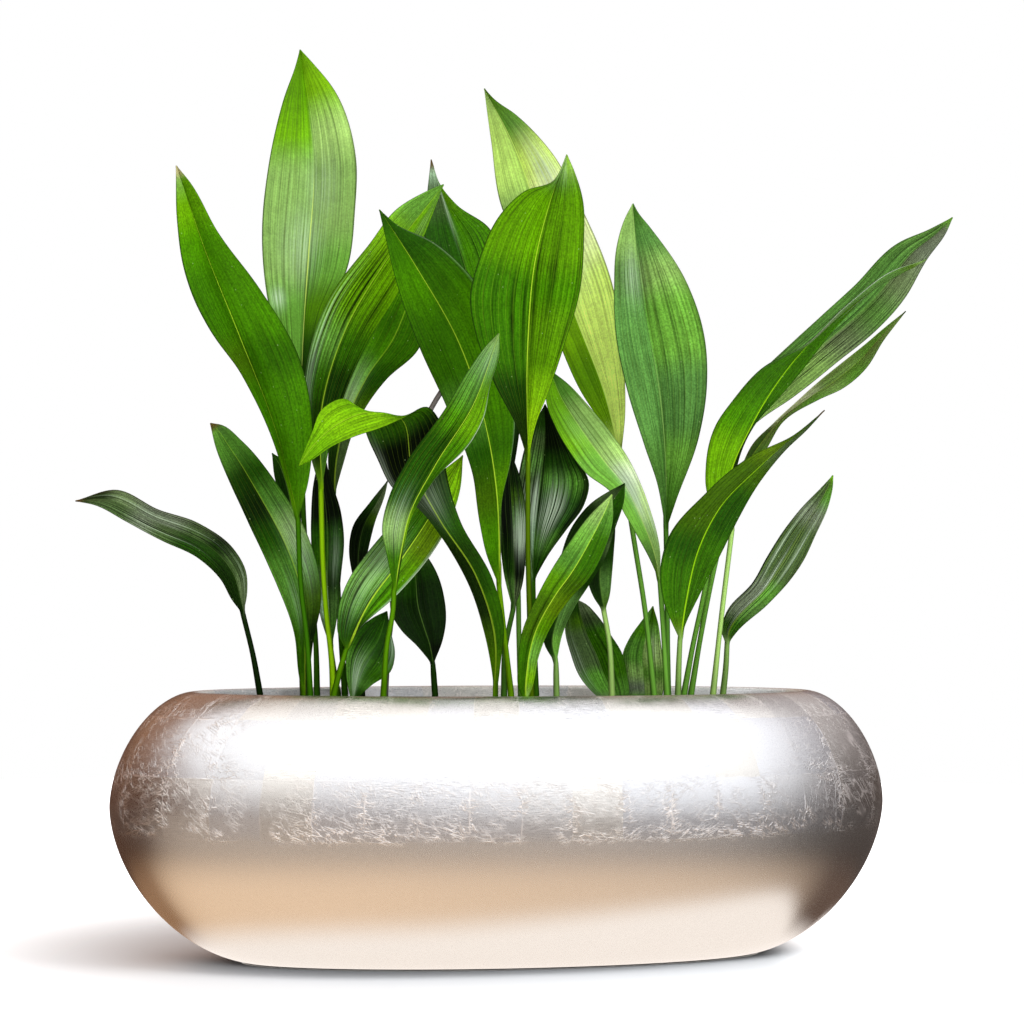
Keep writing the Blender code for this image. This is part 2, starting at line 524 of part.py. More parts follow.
def leaf_surface(leaf, number):
    """Points over the middle of a leaf's thickness, rows from foot to tip, and half the thickness there."""
    left, middle, right, radius = leaf_lines(leaf, number)
    sideways = FOOT_RADIUS * np.array([math.cos(EYE_TURN), -math.sin(EYE_TURN), 0.0])
    buried = [np.array([middle[0][0], middle[0][1], height])
              for height in (SOIL_LEVEL - HOLE_DEPTH, SOIL_LEVEL + STRAIGHT_STALK)]
    left = np.concatenate([[point - sideways for point in buried], left])
    right = np.concatenate([[point + sideways for point in buried], right])
    middle = np.concatenate([buried, middle])
    radius = np.concatenate([[FOOT_RADIUS, FOOT_RADIUS], radius])
    columns = []
    for place in ACROSS:
        edge = left if place < 0 else right
        columns.append(middle + (edge - middle) * abs(place))
    surface = np.stack(columns, axis=1)
    facing = facing_of(surface)
    half_width = [np.linalg.norm(edge - middle, axis=1) for edge in (left, right)]
    thickness = np.empty(surface.shape[:2])
    for k, place in enumerate(ACROSS):
        width = half_width[0] if place < 0 else half_width[1]
        round_share = np.clip((radius / width) ** 2, 0, 1)
        round_half = radius * max(math.sqrt(1 - place**2), EDGE_ROUND)
        blade_half = EDGE_HALF_THICKNESS + (BLADE_HALF_THICKNESS - EDGE_HALF_THICKNESS) * (1 - abs(place))
        if place == 0:
            blade_half = RIB_HALF_THICKNESS * np.clip(radius / STALK_RADIUS, THINNEST_RIB_SHARE, 1)
        thickness[:, k] = blade_half + (round_half - blade_half) * round_share
        arch = ARCH_SHARE * (width - radius) * math.sin(math.pi * abs(place))
        surface[:, k] -= facing[:, k] * np.clip(arch, 0, None)[:, None]
    return surface, thickness


def facing_of(surface):
    """The direction square to the surface at each of its points, away from the viewer on an upright leaf."""
    facing = np.cross(np.gradient(surface, axis=0), np.gradient(surface, axis=1))
    return facing / np.linalg.norm(facing, axis=2, keepdims=True)


def make_leaf(name, number, leaf, finish):
    surface, thickness = leaf_surface(leaf, number)
    shift = facing_of(surface) * thickness[:, :, None]
    rings = np.concatenate([surface - shift, (surface + shift)[:, ::-1]], axis=1)
    rows, count = rings.shape[:2]
    quads = ring_faces(rows, count)
    front = [quad for quad in quads if quad[0] % count < count // 2]
    back = [quad for quad in quads if quad[0] % count >= count // 2]
    # Both sides of the blade are split along the same lines, so that they keep their distance
    faces = split(front) + split(back, rising=False) + end_faces(rows, count)
    return object_from(name, rings.reshape(-1, 3), faces, finish)


def main():
    clear_scene()
    leaves = {name: in_metres(leaf) for name, leaf in LEAVES.items()}
    make_planter()
    make_soil([leaf_foot(leaf) for leaf in leaves.values()])
    for number, (name, leaf) in enumerate(leaves.items()):
        finish = LIGHT_GREEN if name in LIGHT_LEAVES else DARK_GREEN if name in DARK_LEAVES else MID_GREEN
        make_leaf(name, number, leaf, finish)


main()
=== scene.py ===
import json
import math

import bpy
import numpy as np
from mathutils import Matrix, noise


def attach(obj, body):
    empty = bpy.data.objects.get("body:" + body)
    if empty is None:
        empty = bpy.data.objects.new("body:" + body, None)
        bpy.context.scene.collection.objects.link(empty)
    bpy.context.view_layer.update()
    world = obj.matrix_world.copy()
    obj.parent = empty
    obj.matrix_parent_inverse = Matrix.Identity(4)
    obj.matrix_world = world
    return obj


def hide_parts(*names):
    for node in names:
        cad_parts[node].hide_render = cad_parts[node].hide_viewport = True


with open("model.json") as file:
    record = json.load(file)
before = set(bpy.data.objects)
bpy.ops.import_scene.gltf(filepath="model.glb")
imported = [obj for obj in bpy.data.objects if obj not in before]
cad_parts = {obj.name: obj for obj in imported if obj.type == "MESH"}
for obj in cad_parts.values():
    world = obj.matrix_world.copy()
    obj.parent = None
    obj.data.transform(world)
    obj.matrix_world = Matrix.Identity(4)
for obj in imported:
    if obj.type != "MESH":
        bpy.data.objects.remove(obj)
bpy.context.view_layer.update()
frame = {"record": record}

sharpAngle = math.radians(50)
quarterTurn = math.pi / 2
fullTurn = 2 * math.pi

# Where the photograph was taken from: metres and radians, on a picture of this many pixels
shot = {
    "across": 0.006, "distance": 2.865, "height": 0.417,
    "turn": math.radians(10.6), "raise": 0.0169, "roll": 0.0054,
    "pictureSize": 1024, "pixelsPerSlope": 2731, "sensor": 36.0, "farthest": 60.0,
}


def turned(across, depth, height):
    # From the camera's own level axes to the planter's
    turnCos, turnSin = math.cos(shot["turn"]), math.sin(shot["turn"])
    return np.stack([across * turnCos + depth * turnSin, depth * turnCos - across * turnSin, height], axis=-1)


def placeBy(thing, right, up, back, place):
    # A camera or a lamp, put in its place by its own three axes
    rows = [[*axes, point] for *axes, point in zip(right, up, back, place)]
    thing.matrix_world = Matrix([*rows, [0, 0, 0, 1]])
    bpy.context.scene.collection.objects.link(thing)


def makeCamera():
    raiseCos, raiseSin = math.cos(shot["raise"]), math.sin(shot["raise"])
    forward = turned(0.0, raiseCos, raiseSin)
    levelRight = turned(1.0, 0.0, 0.0)
    levelUp = np.cross(levelRight, forward)
    rollCos, rollSin = math.cos(shot["roll"]), math.sin(shot["roll"])
    right = levelRight * rollCos + levelUp * rollSin
    up = levelUp * rollCos - levelRight * rollSin
    lens = bpy.data.cameras.new("shotCamera")
    lens.sensor_width = shot["sensor"]
    lens.lens = shot["sensor"] * shot["pixelsPerSlope"] / shot["pictureSize"]
    lens.clip_end = shot["farthest"]
    camera = bpy.data.objects.new("shotCamera", lens)
    placeBy(camera, right, up, -forward, turned(shot["across"], -shot["distance"], shot["height"]))
    bpy.context.scene.camera = camera


makeCamera()
print("camera placed")


class Field:
    # What a node gives out, in a form that sums can be written with
    def __init__(self, socket):
        self.socket = socket

    def __add__(self, other):
        return calc("ADD", self, other)

    def __sub__(self, other):
        return calc("SUBTRACT", self, other)

    def __mul__(self, other):
        return calc("MULTIPLY", self, other)

    def __truediv__(self, other):
        return calc("DIVIDE", self, other)

    def __abs__(self):
        return calc("ABSOLUTE", self)


def feed(socket, value):
    if isinstance(value, Field):
        socket.id_data.links.new(value.socket, socket)
    else:
        socket.default_value = value


def addNode(tree, kind, inputs=(), output=0, **settings):
    node = tree.nodes.new("ShaderNode" + kind)
    for setting, value in settings.items():
        setattr(node, setting, value)
    for socket, value in dict(inputs).items():
        feed(node.inputs[socket], value)
    return [Field(socket) for socket in node.outputs] if output is None else Field(node.outputs[output])


def treeOf(*values):
    return next(value.socket.id_data for value in values if isinstance(value, Field))


def calc(operation, *values, clamp=False):
    return addNode(treeOf(*values), "Math", enumerate(values), operation=operation, use_clamp=clamp)


def vectorCalc(operation, *values, output="Vector"):
    return addNode(treeOf(*values), "VectorMath", enumerate(values), output, operation=operation)


def ramp(value, low, high, lowest=0.0, highest=1.0, smooth=True):
    inputs = {"Value": value, "From Min": low, "From Max": high, "To Min": lowest, "To Max": highest}
    way = "SMOOTHSTEP" if smooth else "LINEAR"
    return addNode(treeOf(value), "MapRange", inputs, interpolation_type=way)


def mixColour(share, first, second, way="MIX"):
    # Sockets 0, 6 and 7 are the colour mix's share and its two colours, and output 2 its result
    inputs = {0: share, 6: first, 7: second}
    return addNode(treeOf(*inputs.values()), "Mix", inputs, 2, data_type="RGBA", blend_type=way)


def shadeBy(colour, strength):
    grey = addNode(treeOf(strength), "CombineColor", dict.fromkeys(range(3), strength))
    return mixColour(1.0, colour, grey, "MULTIPLY")


def scaled(vector, factors):
    return vectorCalc("MULTIPLY", vector, factors)


def partsOf(value, kind="XYZ"):
    return addNode(treeOf(value), "Separate" + kind, {0: value}, None)


def noiseOf(vector, scale, detail=2.0, roughness=0.5, distortion=0.0):
    inputs = {"Vector": vector, "Scale": scale, "Detail": detail, "Roughness": roughness,
              "Distortion": distortion}
    return addNode(treeOf(vector), "TexNoise", inputs)


def bumpOf(height, distance, **normal):
    inputs = {"Strength": 1.0, "Distance": distance, "Height": height, **normal}
    return addNode(treeOf(height), "Bump", inputs)


def attributeOf(tree, name, output="Vector"):
    return addNode(tree, "Attribute", (), output, attribute_name=name)


def placeOn(tree):
    return addNode(tree, "TexCoord", (), "Object")


def startMaterial(name):
    material = bpy.data.materials.new(name)
    material.use_nodes = True
    tree = material.node_tree
    return material, tree, tree.nodes["Principled BSDF"]


def dress(shader, values):
    for socket, value in values.items():
        feed(shader.inputs[socket], value)


def linear(shade):
    # A colour as a screen shows it, 0 to 255, as the light that Blender works in
    parts = np.array(shade, float) / 255
    return np.where(parts < 0.04045, parts / 12.92, ((parts + 0.055) / 1.055) ** 2.4)


def asColour(shade):
    return (*linear(shade), 1.0)


def unit(vectors):
    return vectors / np.linalg.norm(vectors, axis=-1, keepdims=True)


def turnsOf(count):
    return fullTurn * np.arange(count) / count


def lengthsAlong(points):
    # How far along a line each of its points lies
    steps = np.linalg.norm(np.diff(np.array(points), axis=0), axis=1)
    return np.concatenate([[0.0], np.cumsum(steps)])


def ringFaces(rows, count):
    # Quads between rings of points that follow one another
    here = np.arange(rows - 1)[:, None] * count + np.arange(count)[None, :]
    onward = np.arange(rows - 1)[:, None] * count + (np.arange(count)[None, :] + 1) % count
    return np.stack([here, onward, onward + count, here + count], axis=-1).reshape(-1, 4)


def makeObject(name, points, faces, material):
    mesh = bpy.data.meshes.new(name)
    mesh.from_pydata(points.tolist(), [], faces)
    mesh.materials.append(material)
    thing = bpy.data.objects.new(name, mesh)
    bpy.context.scene.collection.objects.link(thing)
    return thing


def makePiece(name, rings, material, nodes, extra=None):
    # A closed mesh from rings of points, which rides on the object's only body
    rows, count = rings.shape[:2]
    last = (rows - 1) * count
    faces = ringFaces(rows, count).tolist()
    faces += [list(range(count - 1, -1, -1)), list(range(last, last + count))]
    points = rings.reshape(-1, 3)
    if extra is not None:
        faces += (extra[1] + len(points)).tolist()
        points = np.concatenate([points, extra[0]])
    piece = makeObject(name, points, faces, material)
    piece.data.shade_smooth()
    piece.data.set_sharp_from_angle(angle=sharpAngle)
    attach(piece, "root")
    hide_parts(*nodes)
    return piece


def setAttribute(piece, name, kind, domain, values):
    field = {"FLOAT_VECTOR": "vector", "FLOAT_COLOR": "color"}[kind]
    attribute = piece.data.attributes.new(name, kind, domain)
    attribute.data.foreach_set(field, np.ascontiguousarray(values, np.float32).ravel())


# The planter: an oval bowl with a bulging wall, drawn in to its base and to its rim
bowl = {
    "height": 0.278, "halfLength": 0.410, "halfDepth": 0.158, "widestHeight": 0.161,
    "baseDrawIn": 0.150, "rimDrawIn": 0.084, "depthShare": 0.5, "roundness": 1.75, "wall": 0.008,
    "lipRadius": 0.005, "lipSlope": 0.009, "lipTilt": 0.16, "lipSteps": (0.33, 0.67, 1.0),
    "around": 720, "ringsBelow": 64, "ringsAbove": 48, "normalReach": 7, "lipRings": 8,
    "floorShares": (0.8, 0.55, 0.3, 0.06),
}
# Its silver leaf: squares laid in rows, crumpled along their edges, under a satin lacquer
silver = {
    "squaresAround": 36, "squareHeight": 0.0605, "rowStart": 0.0355, "roundStart": 0.012, "tilt": 0.012,
    "tone": (221, 218, 212), "coolTone": (216, 216, 217), "paintedGlintTone": (248, 243, 238),
    "roughness": 0.29, "smoothRoughness": 0.25, "strokeRoughness": 0.14, "grainRoughness": (-0.03, 0.05),
    "strokeHeight": 0.00021, "grainHeight": 0.00008, "brushHeight": 0.25,
    "wobble": 0.0035, "wobblesPerMetre": 60.0, "grainsPerMetre": 1100.0,
    "seamWidth": 0.0004, "seamShare": 0.6, "edgeReach": 0.022, "insideMetal": 0.25, "insideReach": 0.004,
    # Heights of the smooth part's top, of the crumpled belt's top and of the rim's crumples, and where along
    # the bowl the ends and the larger crinkles start
    "smoothTop": (0.130, 0.147), "beltTop": (0.168, 0.205), "rimFoot": (0.262, 0.272),
    "endStart": (0.25, 0.34), "largeStart": (0.30, 0.36), "largeTop": (0.225, 0.245),
    # Creases: how many to a metre, how stretched, how wide, and where in a noise they start and are full
    "strokes": (78.0, 5.5, 0.085, 0.44, 0.54), "crossed": (95.0, 5.0, 0.075, 0.48, 0.56),
    "large": (42.0, 5.0, 0.16, 0.42, 0.50), "keptStretch": (1.0, 2.0, 1.0), "keptScale": 0.9,
    # How far each square's creases are turned from level, and those that cross them from there
    "spins": (-0.7, 0.8), "crossing": 0.9,
    # What breaks seams and creases up: how many patches to a metre, and where in a noise they start and end
    "seamBreaks": (45.0, 0.44, 0.62), "patches": (26.0, 0.34, 0.54), "largePatches": (21.0, 0.47, 0.55),
    # How much the creases show beside a square's edges, and away from them, and in the weaker zones
    "edgeCreases": 0.95, "freeCreases": 0.40, "smoothLeast": 0.03, "middleLeast": 0.12, "rimMost": 0.6,
    "sideNarrowing": 1.8, "topWobble": 3.0, "brushes": (0.5, 8.0, 1.0), "brushesPerMetre": 150.0,
    # Which squares, by chance from 0 to 1, are brushed and which are cooler, and the noise of the grain
    "brushedSquares": (0.3, 0.9), "coolSquares": (0.35, 0.85), "grainNoise": (0.3, 0.7),
    # How much squares differ in brightness, what grain and brushing do to it, and the painted shade that
    # darkens the crumpled zones
    "squareShades": (-0.11, 0.03), "grainShades": (0.90, 1.08), "brushShade": 1.3, "crumpledPaintedShade": 0.09,
}


def drawIn(height):
    below = height < bowl["widestHeight"]
    rise = np.where(below, bowl["widestHeight"], bowl["height"] - bowl["widestHeight"])
    most = np.where(below, bowl["baseDrawIn"], bowl["rimDrawIn"])
    share = np.clip(np.abs(height - bowl["widestHeight"]) / rise, 0, 1)
    return most * (1 - (1 - share ** bowl["roundness"]) ** (1 / bowl["roundness"]))


def bowlHeights():
    below = 1 - np.cos(quarterTurn * np.arange(bowl["ringsBelow"]) / bowl["ringsBelow"])
    above = np.sin(quarterTurn * np.arange(bowl["ringsAbove"] + 1) / bowl["ringsAbove"])
    rise = bowl["height"] - bowl["widestHeight"]
    return np.concatenate([bowl["widestHeight"] * below, bowl["widestHeight"] + rise * above])


def bowlRings(inward):
    # The wall's outside as rings, moved inward at right angles to it
    heights = bowlHeights()
    turns = turnsOf(bowl["around"])
    pulled = drawIn(heights)[:, None]
    across = (bowl["halfLength"] - pulled) * np.cos(turns)
    depth = (bowl["halfDepth"] - bowl["depthShare"] * pulled) * np.sin(turns)
    rings = np.stack([across, depth, np.broadcast_to(heights[:, None], across.shape)], axis=-1)
    reach = bowl["normalReach"]
    index = np.arange(len(rings))
    climb = rings[np.minimum(index + reach, len(rings) - 1)] - rings[np.maximum(index - reach, 0)]
    around = np.roll(rings, -1, axis=1) - np.roll(rings, 1, axis=1)
    rings = rings - unit(np.cross(around, climb)) * inward
    rings[..., 2] = np.maximum(rings[..., 2], inward)
    return rings


outer, inner = bowlRings(0.0), bowlRings(bowl["wall"])
widest = outer[bowl["ringsBelow"]]
frontPoint = 3 * bowl["around"] // 4
aroundPlaces = lengthsAlong([*widest, widest[0]])
roundTheBowl = float(aroundPlaces[-1])
rimClimb = float(lengthsAlong(outer[bowl["ringsBelow"]:, frontPoint])[-1])


def patchesOf(vector, perMetre, low, high, detail=2.0):
    return ramp(noiseOf(vector, perMetre, detail), low, high)


def creases(vector, perMetre, stretch, width, low, high):
    # Thin broken lines: the borders between stretched cells, kept only here and there
    inputs = {"Vector": scaled(vector, (1.0, stretch, 1.0)), "Scale": perMetre}
    net = addNode(treeOf(vector), "TexVoronoi", inputs, "Distance", feature="DISTANCE_TO_EDGE")
    kept = patchesOf(scaled(vector, silver["keptStretch"]), perMetre * silver["keptScale"], low, high)
    return ramp(net, 0.0, width, 1.0, 0.0) * kept


def spunBy(vector, angle):
    inputs = {"Vector": vector, "Axis": (0.0, 0.0, 1.0), "Angle": angle}
    return addNode(treeOf(vector), "VectorRotate", inputs, rotation_type="AXIS_ANGLE")


def silverLeaf():
    material, tree, shader = startMaterial("silverLeaf")
    laid, place = attributeOf(tree, "leafing"), placeOn(tree)
    laidParts, placeParts = partsOf(laid), partsOf(place)
    lengthwise, tall = placeParts[0], placeParts[2]
    # Which square a point lies in, what chance gives the square, and how far away its edges are
    squareWidth, squareHeight = roundTheBowl / silver["squaresAround"], silver["squareHeight"]
    wobble = (noiseOf(laid, silver["wobblesPerMetre"], 3.0) - 0.5) * silver["wobble"]
    column = (laidParts[0] + (wobble + silver["roundStart"])) / squareWidth
    row = (laidParts[1] + (wobble - silver["rowStart"])) / squareHeight
    cell = addNode(tree, "CombineXYZ", {0: calc("FLOOR", column), 1: calc("FLOOR", row)})
    chance = addNode(tree, "TexWhiteNoise", {"Vector": cell}, "Color", noise_dimensions="3D")
    firstDraw, secondDraw, thirdDraw = partsOf(chance, "Color")
    sideGap = calc("PINGPONG", column, 0.5) * squareWidth
    levelGap = calc("PINGPONG", row, 0.5) * squareHeight
    seam = ramp(calc("MINIMUM", sideGap, levelGap), silver["seamWidth"], 3 * silver["seamWidth"], 1.0, 0.0)
    seam = seam * patchesOf(laid, *silver["seamBreaks"])
    # Below the widest line the leaf lies smooth. Above it it's loose: crumpled just over that line, at the
    # ends and under the rim, in each square's own direction, along its edges and in patches
    loose = ramp(wobble * silver["topWobble"] + tall, *silver["smoothTop"], silver["smoothLeast"], 1.0)
    belt = ramp(tall, *silver["beltTop"], 1.0, silver["middleLeast"])
    belt = belt + ramp(tall, *silver["rimFoot"], 0.0, silver["rimMost"])
    zone = calc("MAXIMUM", ramp(abs(lengthwise), *silver["endStart"]), belt)
    spun = spunBy(laid, ramp(firstDraw, 0.0, 1.0, *silver["spins"], smooth=False))
    crossSpun = spunBy(spun, silver["crossing"])
    strokes = calc("MAXIMUM", creases(spun, *silver["strokes"]), creases(crossSpun, *silver["crossed"]))
    nearEdge = calc("MINIMUM", levelGap, sideGap * silver["sideNarrowing"])
    nearEdge = ramp(nearEdge, 0.0, silver["edgeReach"], 1.0, 0.0)
    amount = nearEdge * silver["edgeCreases"] + silver["freeCreases"]
    crumpled = strokes * (amount * patchesOf(laid, *silver["patches"]) * zone)
    # Larger crinkles at the bowl's right end
    large = creases(crossSpun, *silver["large"]) * patchesOf(laid, *silver["largePatches"], detail=1.0)
    large = large * (ramp(lengthwise, *silver["largeStart"]) * ramp(tall, *silver["largeTop"], 1.0, 0.0))
    lines = calc("MAXIMUM", calc("MAXIMUM", crumpled, large), seam * (zone * silver["seamShare"]))
    lines = calc("MULTIPLY", lines, loose, clamp=True)
    # Fine level brushing, and a grain all over
    brushed = noiseOf(scaled(laid, silver["brushes"]), silver["brushesPerMetre"], 2.0, 0.7)
    brushing = (brushed - 0.5) * ramp(secondDraw, *silver["brushedSquares"]) * loose
    grain = noiseOf(place, silver["grainsPerMetre"], 2.0, 0.7)
    cool = ramp(thirdDraw, *silver["coolSquares"]) * loose
    tone = mixColour(cool, asColour(silver["tone"]), asColour(silver["coolTone"]))
    shade = ramp(firstDraw, 0.0, 1.0, *silver["squareShades"], smooth=False) * loose
    shade = shade + ramp(grain, *silver["grainNoise"], *silver["grainShades"], smooth=False)
    # The crumpled zones are darkened here as painted shade
    shade = shade + brushing * silver["brushShade"] - zone * loose * silver["crumpledPaintedShade"]
    # Each square lies at a slightly different slant
    slant = vectorCalc("SUBTRACT", chance, (0.5, 0.5, 0.5))
    slant = addNode(tree, "VectorMath", {0: slant, "Scale": loose * silver["tilt"]}, operation="SCALE")
    facing = addNode(tree, "NewGeometry", (), "Normal")
    slanted = vectorCalc("NORMALIZE", vectorCalc("ADD", facing, slant))
    crumples = bumpOf(brushing * silver["brushHeight"] + lines, silver["strokeHeight"], Normal=slanted)
    dress(shader, {
        # The creases and seams are painted paler, a painted glint along them
        "Base Color": mixColour(lines, shadeBy(tone, shade), asColour(silver["paintedGlintTone"])),
        "Roughness": (ramp(loose, 0.0, 1.0, silver["smoothRoughness"], silver["roughness"])
                      + ramp(grain, *silver["grainNoise"], *silver["grainRoughness"])
                      + lines * silver["strokeRoughness"]),
        # Inside the rim the leaf lies thin and matt over the pale bowl
        "Metallic": ramp(laidParts[1], rimClimb, rimClimb + silver["insideReach"],
                         1.0, silver["insideMetal"]),
        "Normal": bumpOf(grain, silver["grainHeight"], Normal=crumples),
    })
    return material


def makePlanter():
    onward = outer[-1] - outer[-1 - bowl["normalReach"]]
    onward[:, 2] = 0
    onward = unit(onward)
    # The rim rolls in: a small round edge, then a short slope that faces the opening and a little up
    radius, tilt = bowl["lipRadius"], bowl["lipTilt"]
    turns = np.linspace(quarterTurn, tilt, bowl["lipRings"])[1:]
    profile = [(radius * math.cos(turn), radius * (math.sin(turn) - 1)) for turn in turns]
    roundIn, roundDown = profile[-1]
    profile += [(roundIn + step * math.sin(tilt), roundDown - step * math.cos(tilt))
                for step in bowl["lipSlope"] * np.array(bowl["lipSteps"])]
    lip = [outer[-1] + onward * along + (0, 0, rise) for along, rise in profile]
    under = [outer[0] * share for share in bowl["floorShares"][::-1]]
    within = [inner[0] * (share, share, 1.0) for share in bowl["floorShares"]]
    rings = np.array([*under, *outer, *lip, *inner[::-1], *within])
    planter = makePiece("silverPlanter", rings, silverLeaf(), ["planter"])
    # Where each corner lies on the laid leaf: metres round the bowl, and up its front from the widest line
    climb = lengthsAlong(rings[:, frontPoint])
    climb -= climb[len(under) + bowl["ringsBelow"]]
    near, far = np.meshgrid(climb[:-1], aroundPlaces[:-1], indexing="ij")
    nearOn, farOn = np.meshgrid(climb[1:], aroundPlaces[1:], indexing="ij")
    corners = np.stack([far, near, farOn, near, farOn, nearOn, far, nearOn], axis=-1).reshape(-1, 2)
    laid = np.zeros((len(planter.data.loops), 3))
    laid[:len(corners), :2] = corners
    setAttribute(planter, "leafing", "FLOAT_VECTOR", "CORNER", laid)


makePlanter()
print("planter made")


# The soil: fills the bowl to below its rim, a little mounded, with crumbs on top
bed = {
    "level": 0.247, "mound": 0.004, "ripple": 0.002, "alongRipple": 38.0, "deepRipple": 47.0,
    "rippleSlant": 21.0, "rippleStart": 1.3, "gap": 0.0006, "topRings": 64, "everyWallRing": 6,
    "everyCorner": 3, "lumpHeight": 0.0022, "lumpsPerMetre": 70.0, "lumpDetail": (0.9, 2.1, 4),
    "crumbs": 1500, "crumbSize": (0.0010, 0.0032), "crumbSpread": 0.97, "crumbUneven": (0.6, 1.3),
    "crumbFlatness": 0.8, "seed": 11, "bump": 0.0012,
    "dark": (34, 25, 18), "light": (68, 50, 35), "grit": (104, 80, 56), "fibre": (126, 98, 66),
    # Clumps, grit and fibres: how many to a metre, and how much of them shows where in a noise
    "clumpsPerMetre": 90.0, "gritPerMetre": 620.0, "fibresPerMetre": 210.0, "fibreStretch": (1.0, 3.2, 1.0),
    "clumpShare": (0.34, 0.66), "gritShare": (0.60, 0.74, 0.0, 0.7), "fibreShare": (0.66, 0.72, 0.0, 0.8),
    "roughness": (0.3, 0.7, 0.82, 1.0), "gritRelief": 0.4,
}


def soilHeight(across, depth):
    mound = bed["mound"] * (1 - (across / bowl["halfLength"]) ** 2)
    along = np.sin(bed["alongRipple"] * across + bed["rippleStart"])
    return bed["level"] + mound + bed["ripple"] * along * np.cos(
        bed["deepRipple"] * depth + bed["rippleSlant"] * across)


def soilFinish():
    material, tree, shader = startMaterial("pottingSoil")
    place = placeOn(tree)
    clumps = noiseOf(place, bed["clumpsPerMetre"], 5.0, 0.62)
    grit = noiseOf(place, bed["gritPerMetre"], 3.0, 0.7)
    fibre = noiseOf(scaled(place, bed["fibreStretch"]), bed["fibresPerMetre"], 3.0, 0.6, 1.2)
    tone = mixColour(ramp(clumps, *bed["clumpShare"]), asColour(bed["dark"]), asColour(bed["light"]))
    tone = mixColour(ramp(grit, *bed["gritShare"]), tone, asColour(bed["grit"]))
    tone = mixColour(ramp(fibre, *bed["fibreShare"]), tone, asColour(bed["fibre"]))
    dress(shader, {"Base Color": tone, "Roughness": ramp(grit, *bed["roughness"]),
                   "Normal": bumpOf(grit * bed["gritRelief"] + clumps, bed["bump"])})
    return material


def crumbLumps(edge):
    # Small uneven eight-sided lumps, half sunk in the soil's top
    chance = np.random.default_rng(bed["seed"])
    count, (least, most) = bed["crumbs"], bed["crumbSize"]
    corners = np.array([(1, 0, 0), (-1, 0, 0), (0, 1, 0), (0, -1, 0), (0, 0, 1), (0, 0, -1)], float)
    sides = np.array([(0, 2, 4), (2, 1, 4), (1, 3, 4), (3, 0, 4), (2, 0, 5), (1, 2, 5), (3, 1, 5), (0, 3, 5)])
    reach = np.sqrt(chance.uniform(0, 1, count)) * bed["crumbSpread"]
    spots = edge[chance.integers(0, len(edge), count)][:, :2] * reach[:, None]
    heights = soilHeight(spots[:, 0], spots[:, 1])
    sizes = least + (most - least) * chance.uniform(0, 1, count) ** 2
    uneven = chance.uniform(*bed["crumbUneven"], (count, 6, 1))
    turns = chance.uniform(0, fullTurn, count)
    cos, sin = np.cos(turns)[:, None], np.sin(turns)[:, None]
    lumps = corners * uneven * sizes[:, None, None]
    long, wide, tall = np.moveaxis(lumps, -1, 0)
    lumps = np.stack([long * cos - wide * sin, long * sin + wide * cos, tall * bed["crumbFlatness"]], axis=-1)
    lumps += np.concatenate([spots, heights[:, None]], axis=1)[:, None, :]
    faces = sides[None] + 6 * np.arange(count)[:, None, None]
    return lumps.reshape(-1, 3), faces.reshape(-1, 3)


def makeSoil():
    skin = bowlRings(bowl["wall"] + bed["gap"])
    skin = skin[skin[:, :, 2].max(axis=1) < bed["level"]]
    walls = skin[::-1][::bed["everyWallRing"]][::-1]
    edge = walls[-1] * (1, 1, 0) + (0, 0, bed["level"])
    rings = [walls[0] * (share, share, 1.0) for share in bowl["floorShares"][::-1]] + [*walls]
    for step in range(bed["topRings"]):
        ring = edge[:, :2] * (1 - step / bed["topRings"])
        lumps = np.array([noise.fractal((*(point * bed["lumpsPerMetre"]), 0.0), *bed["lumpDetail"])
                          for point in ring])
        rings.append(np.column_stack([ring, soilHeight(*ring.T) + bed["lumpHeight"] * lumps]))
    rings = np.array(rings)[:, ::bed["everyCorner"]]
    makePiece("pottingSoil", rings, soilFinish(), ["soil"], crumbLumps(edge))


makeSoil()
print("soil made")
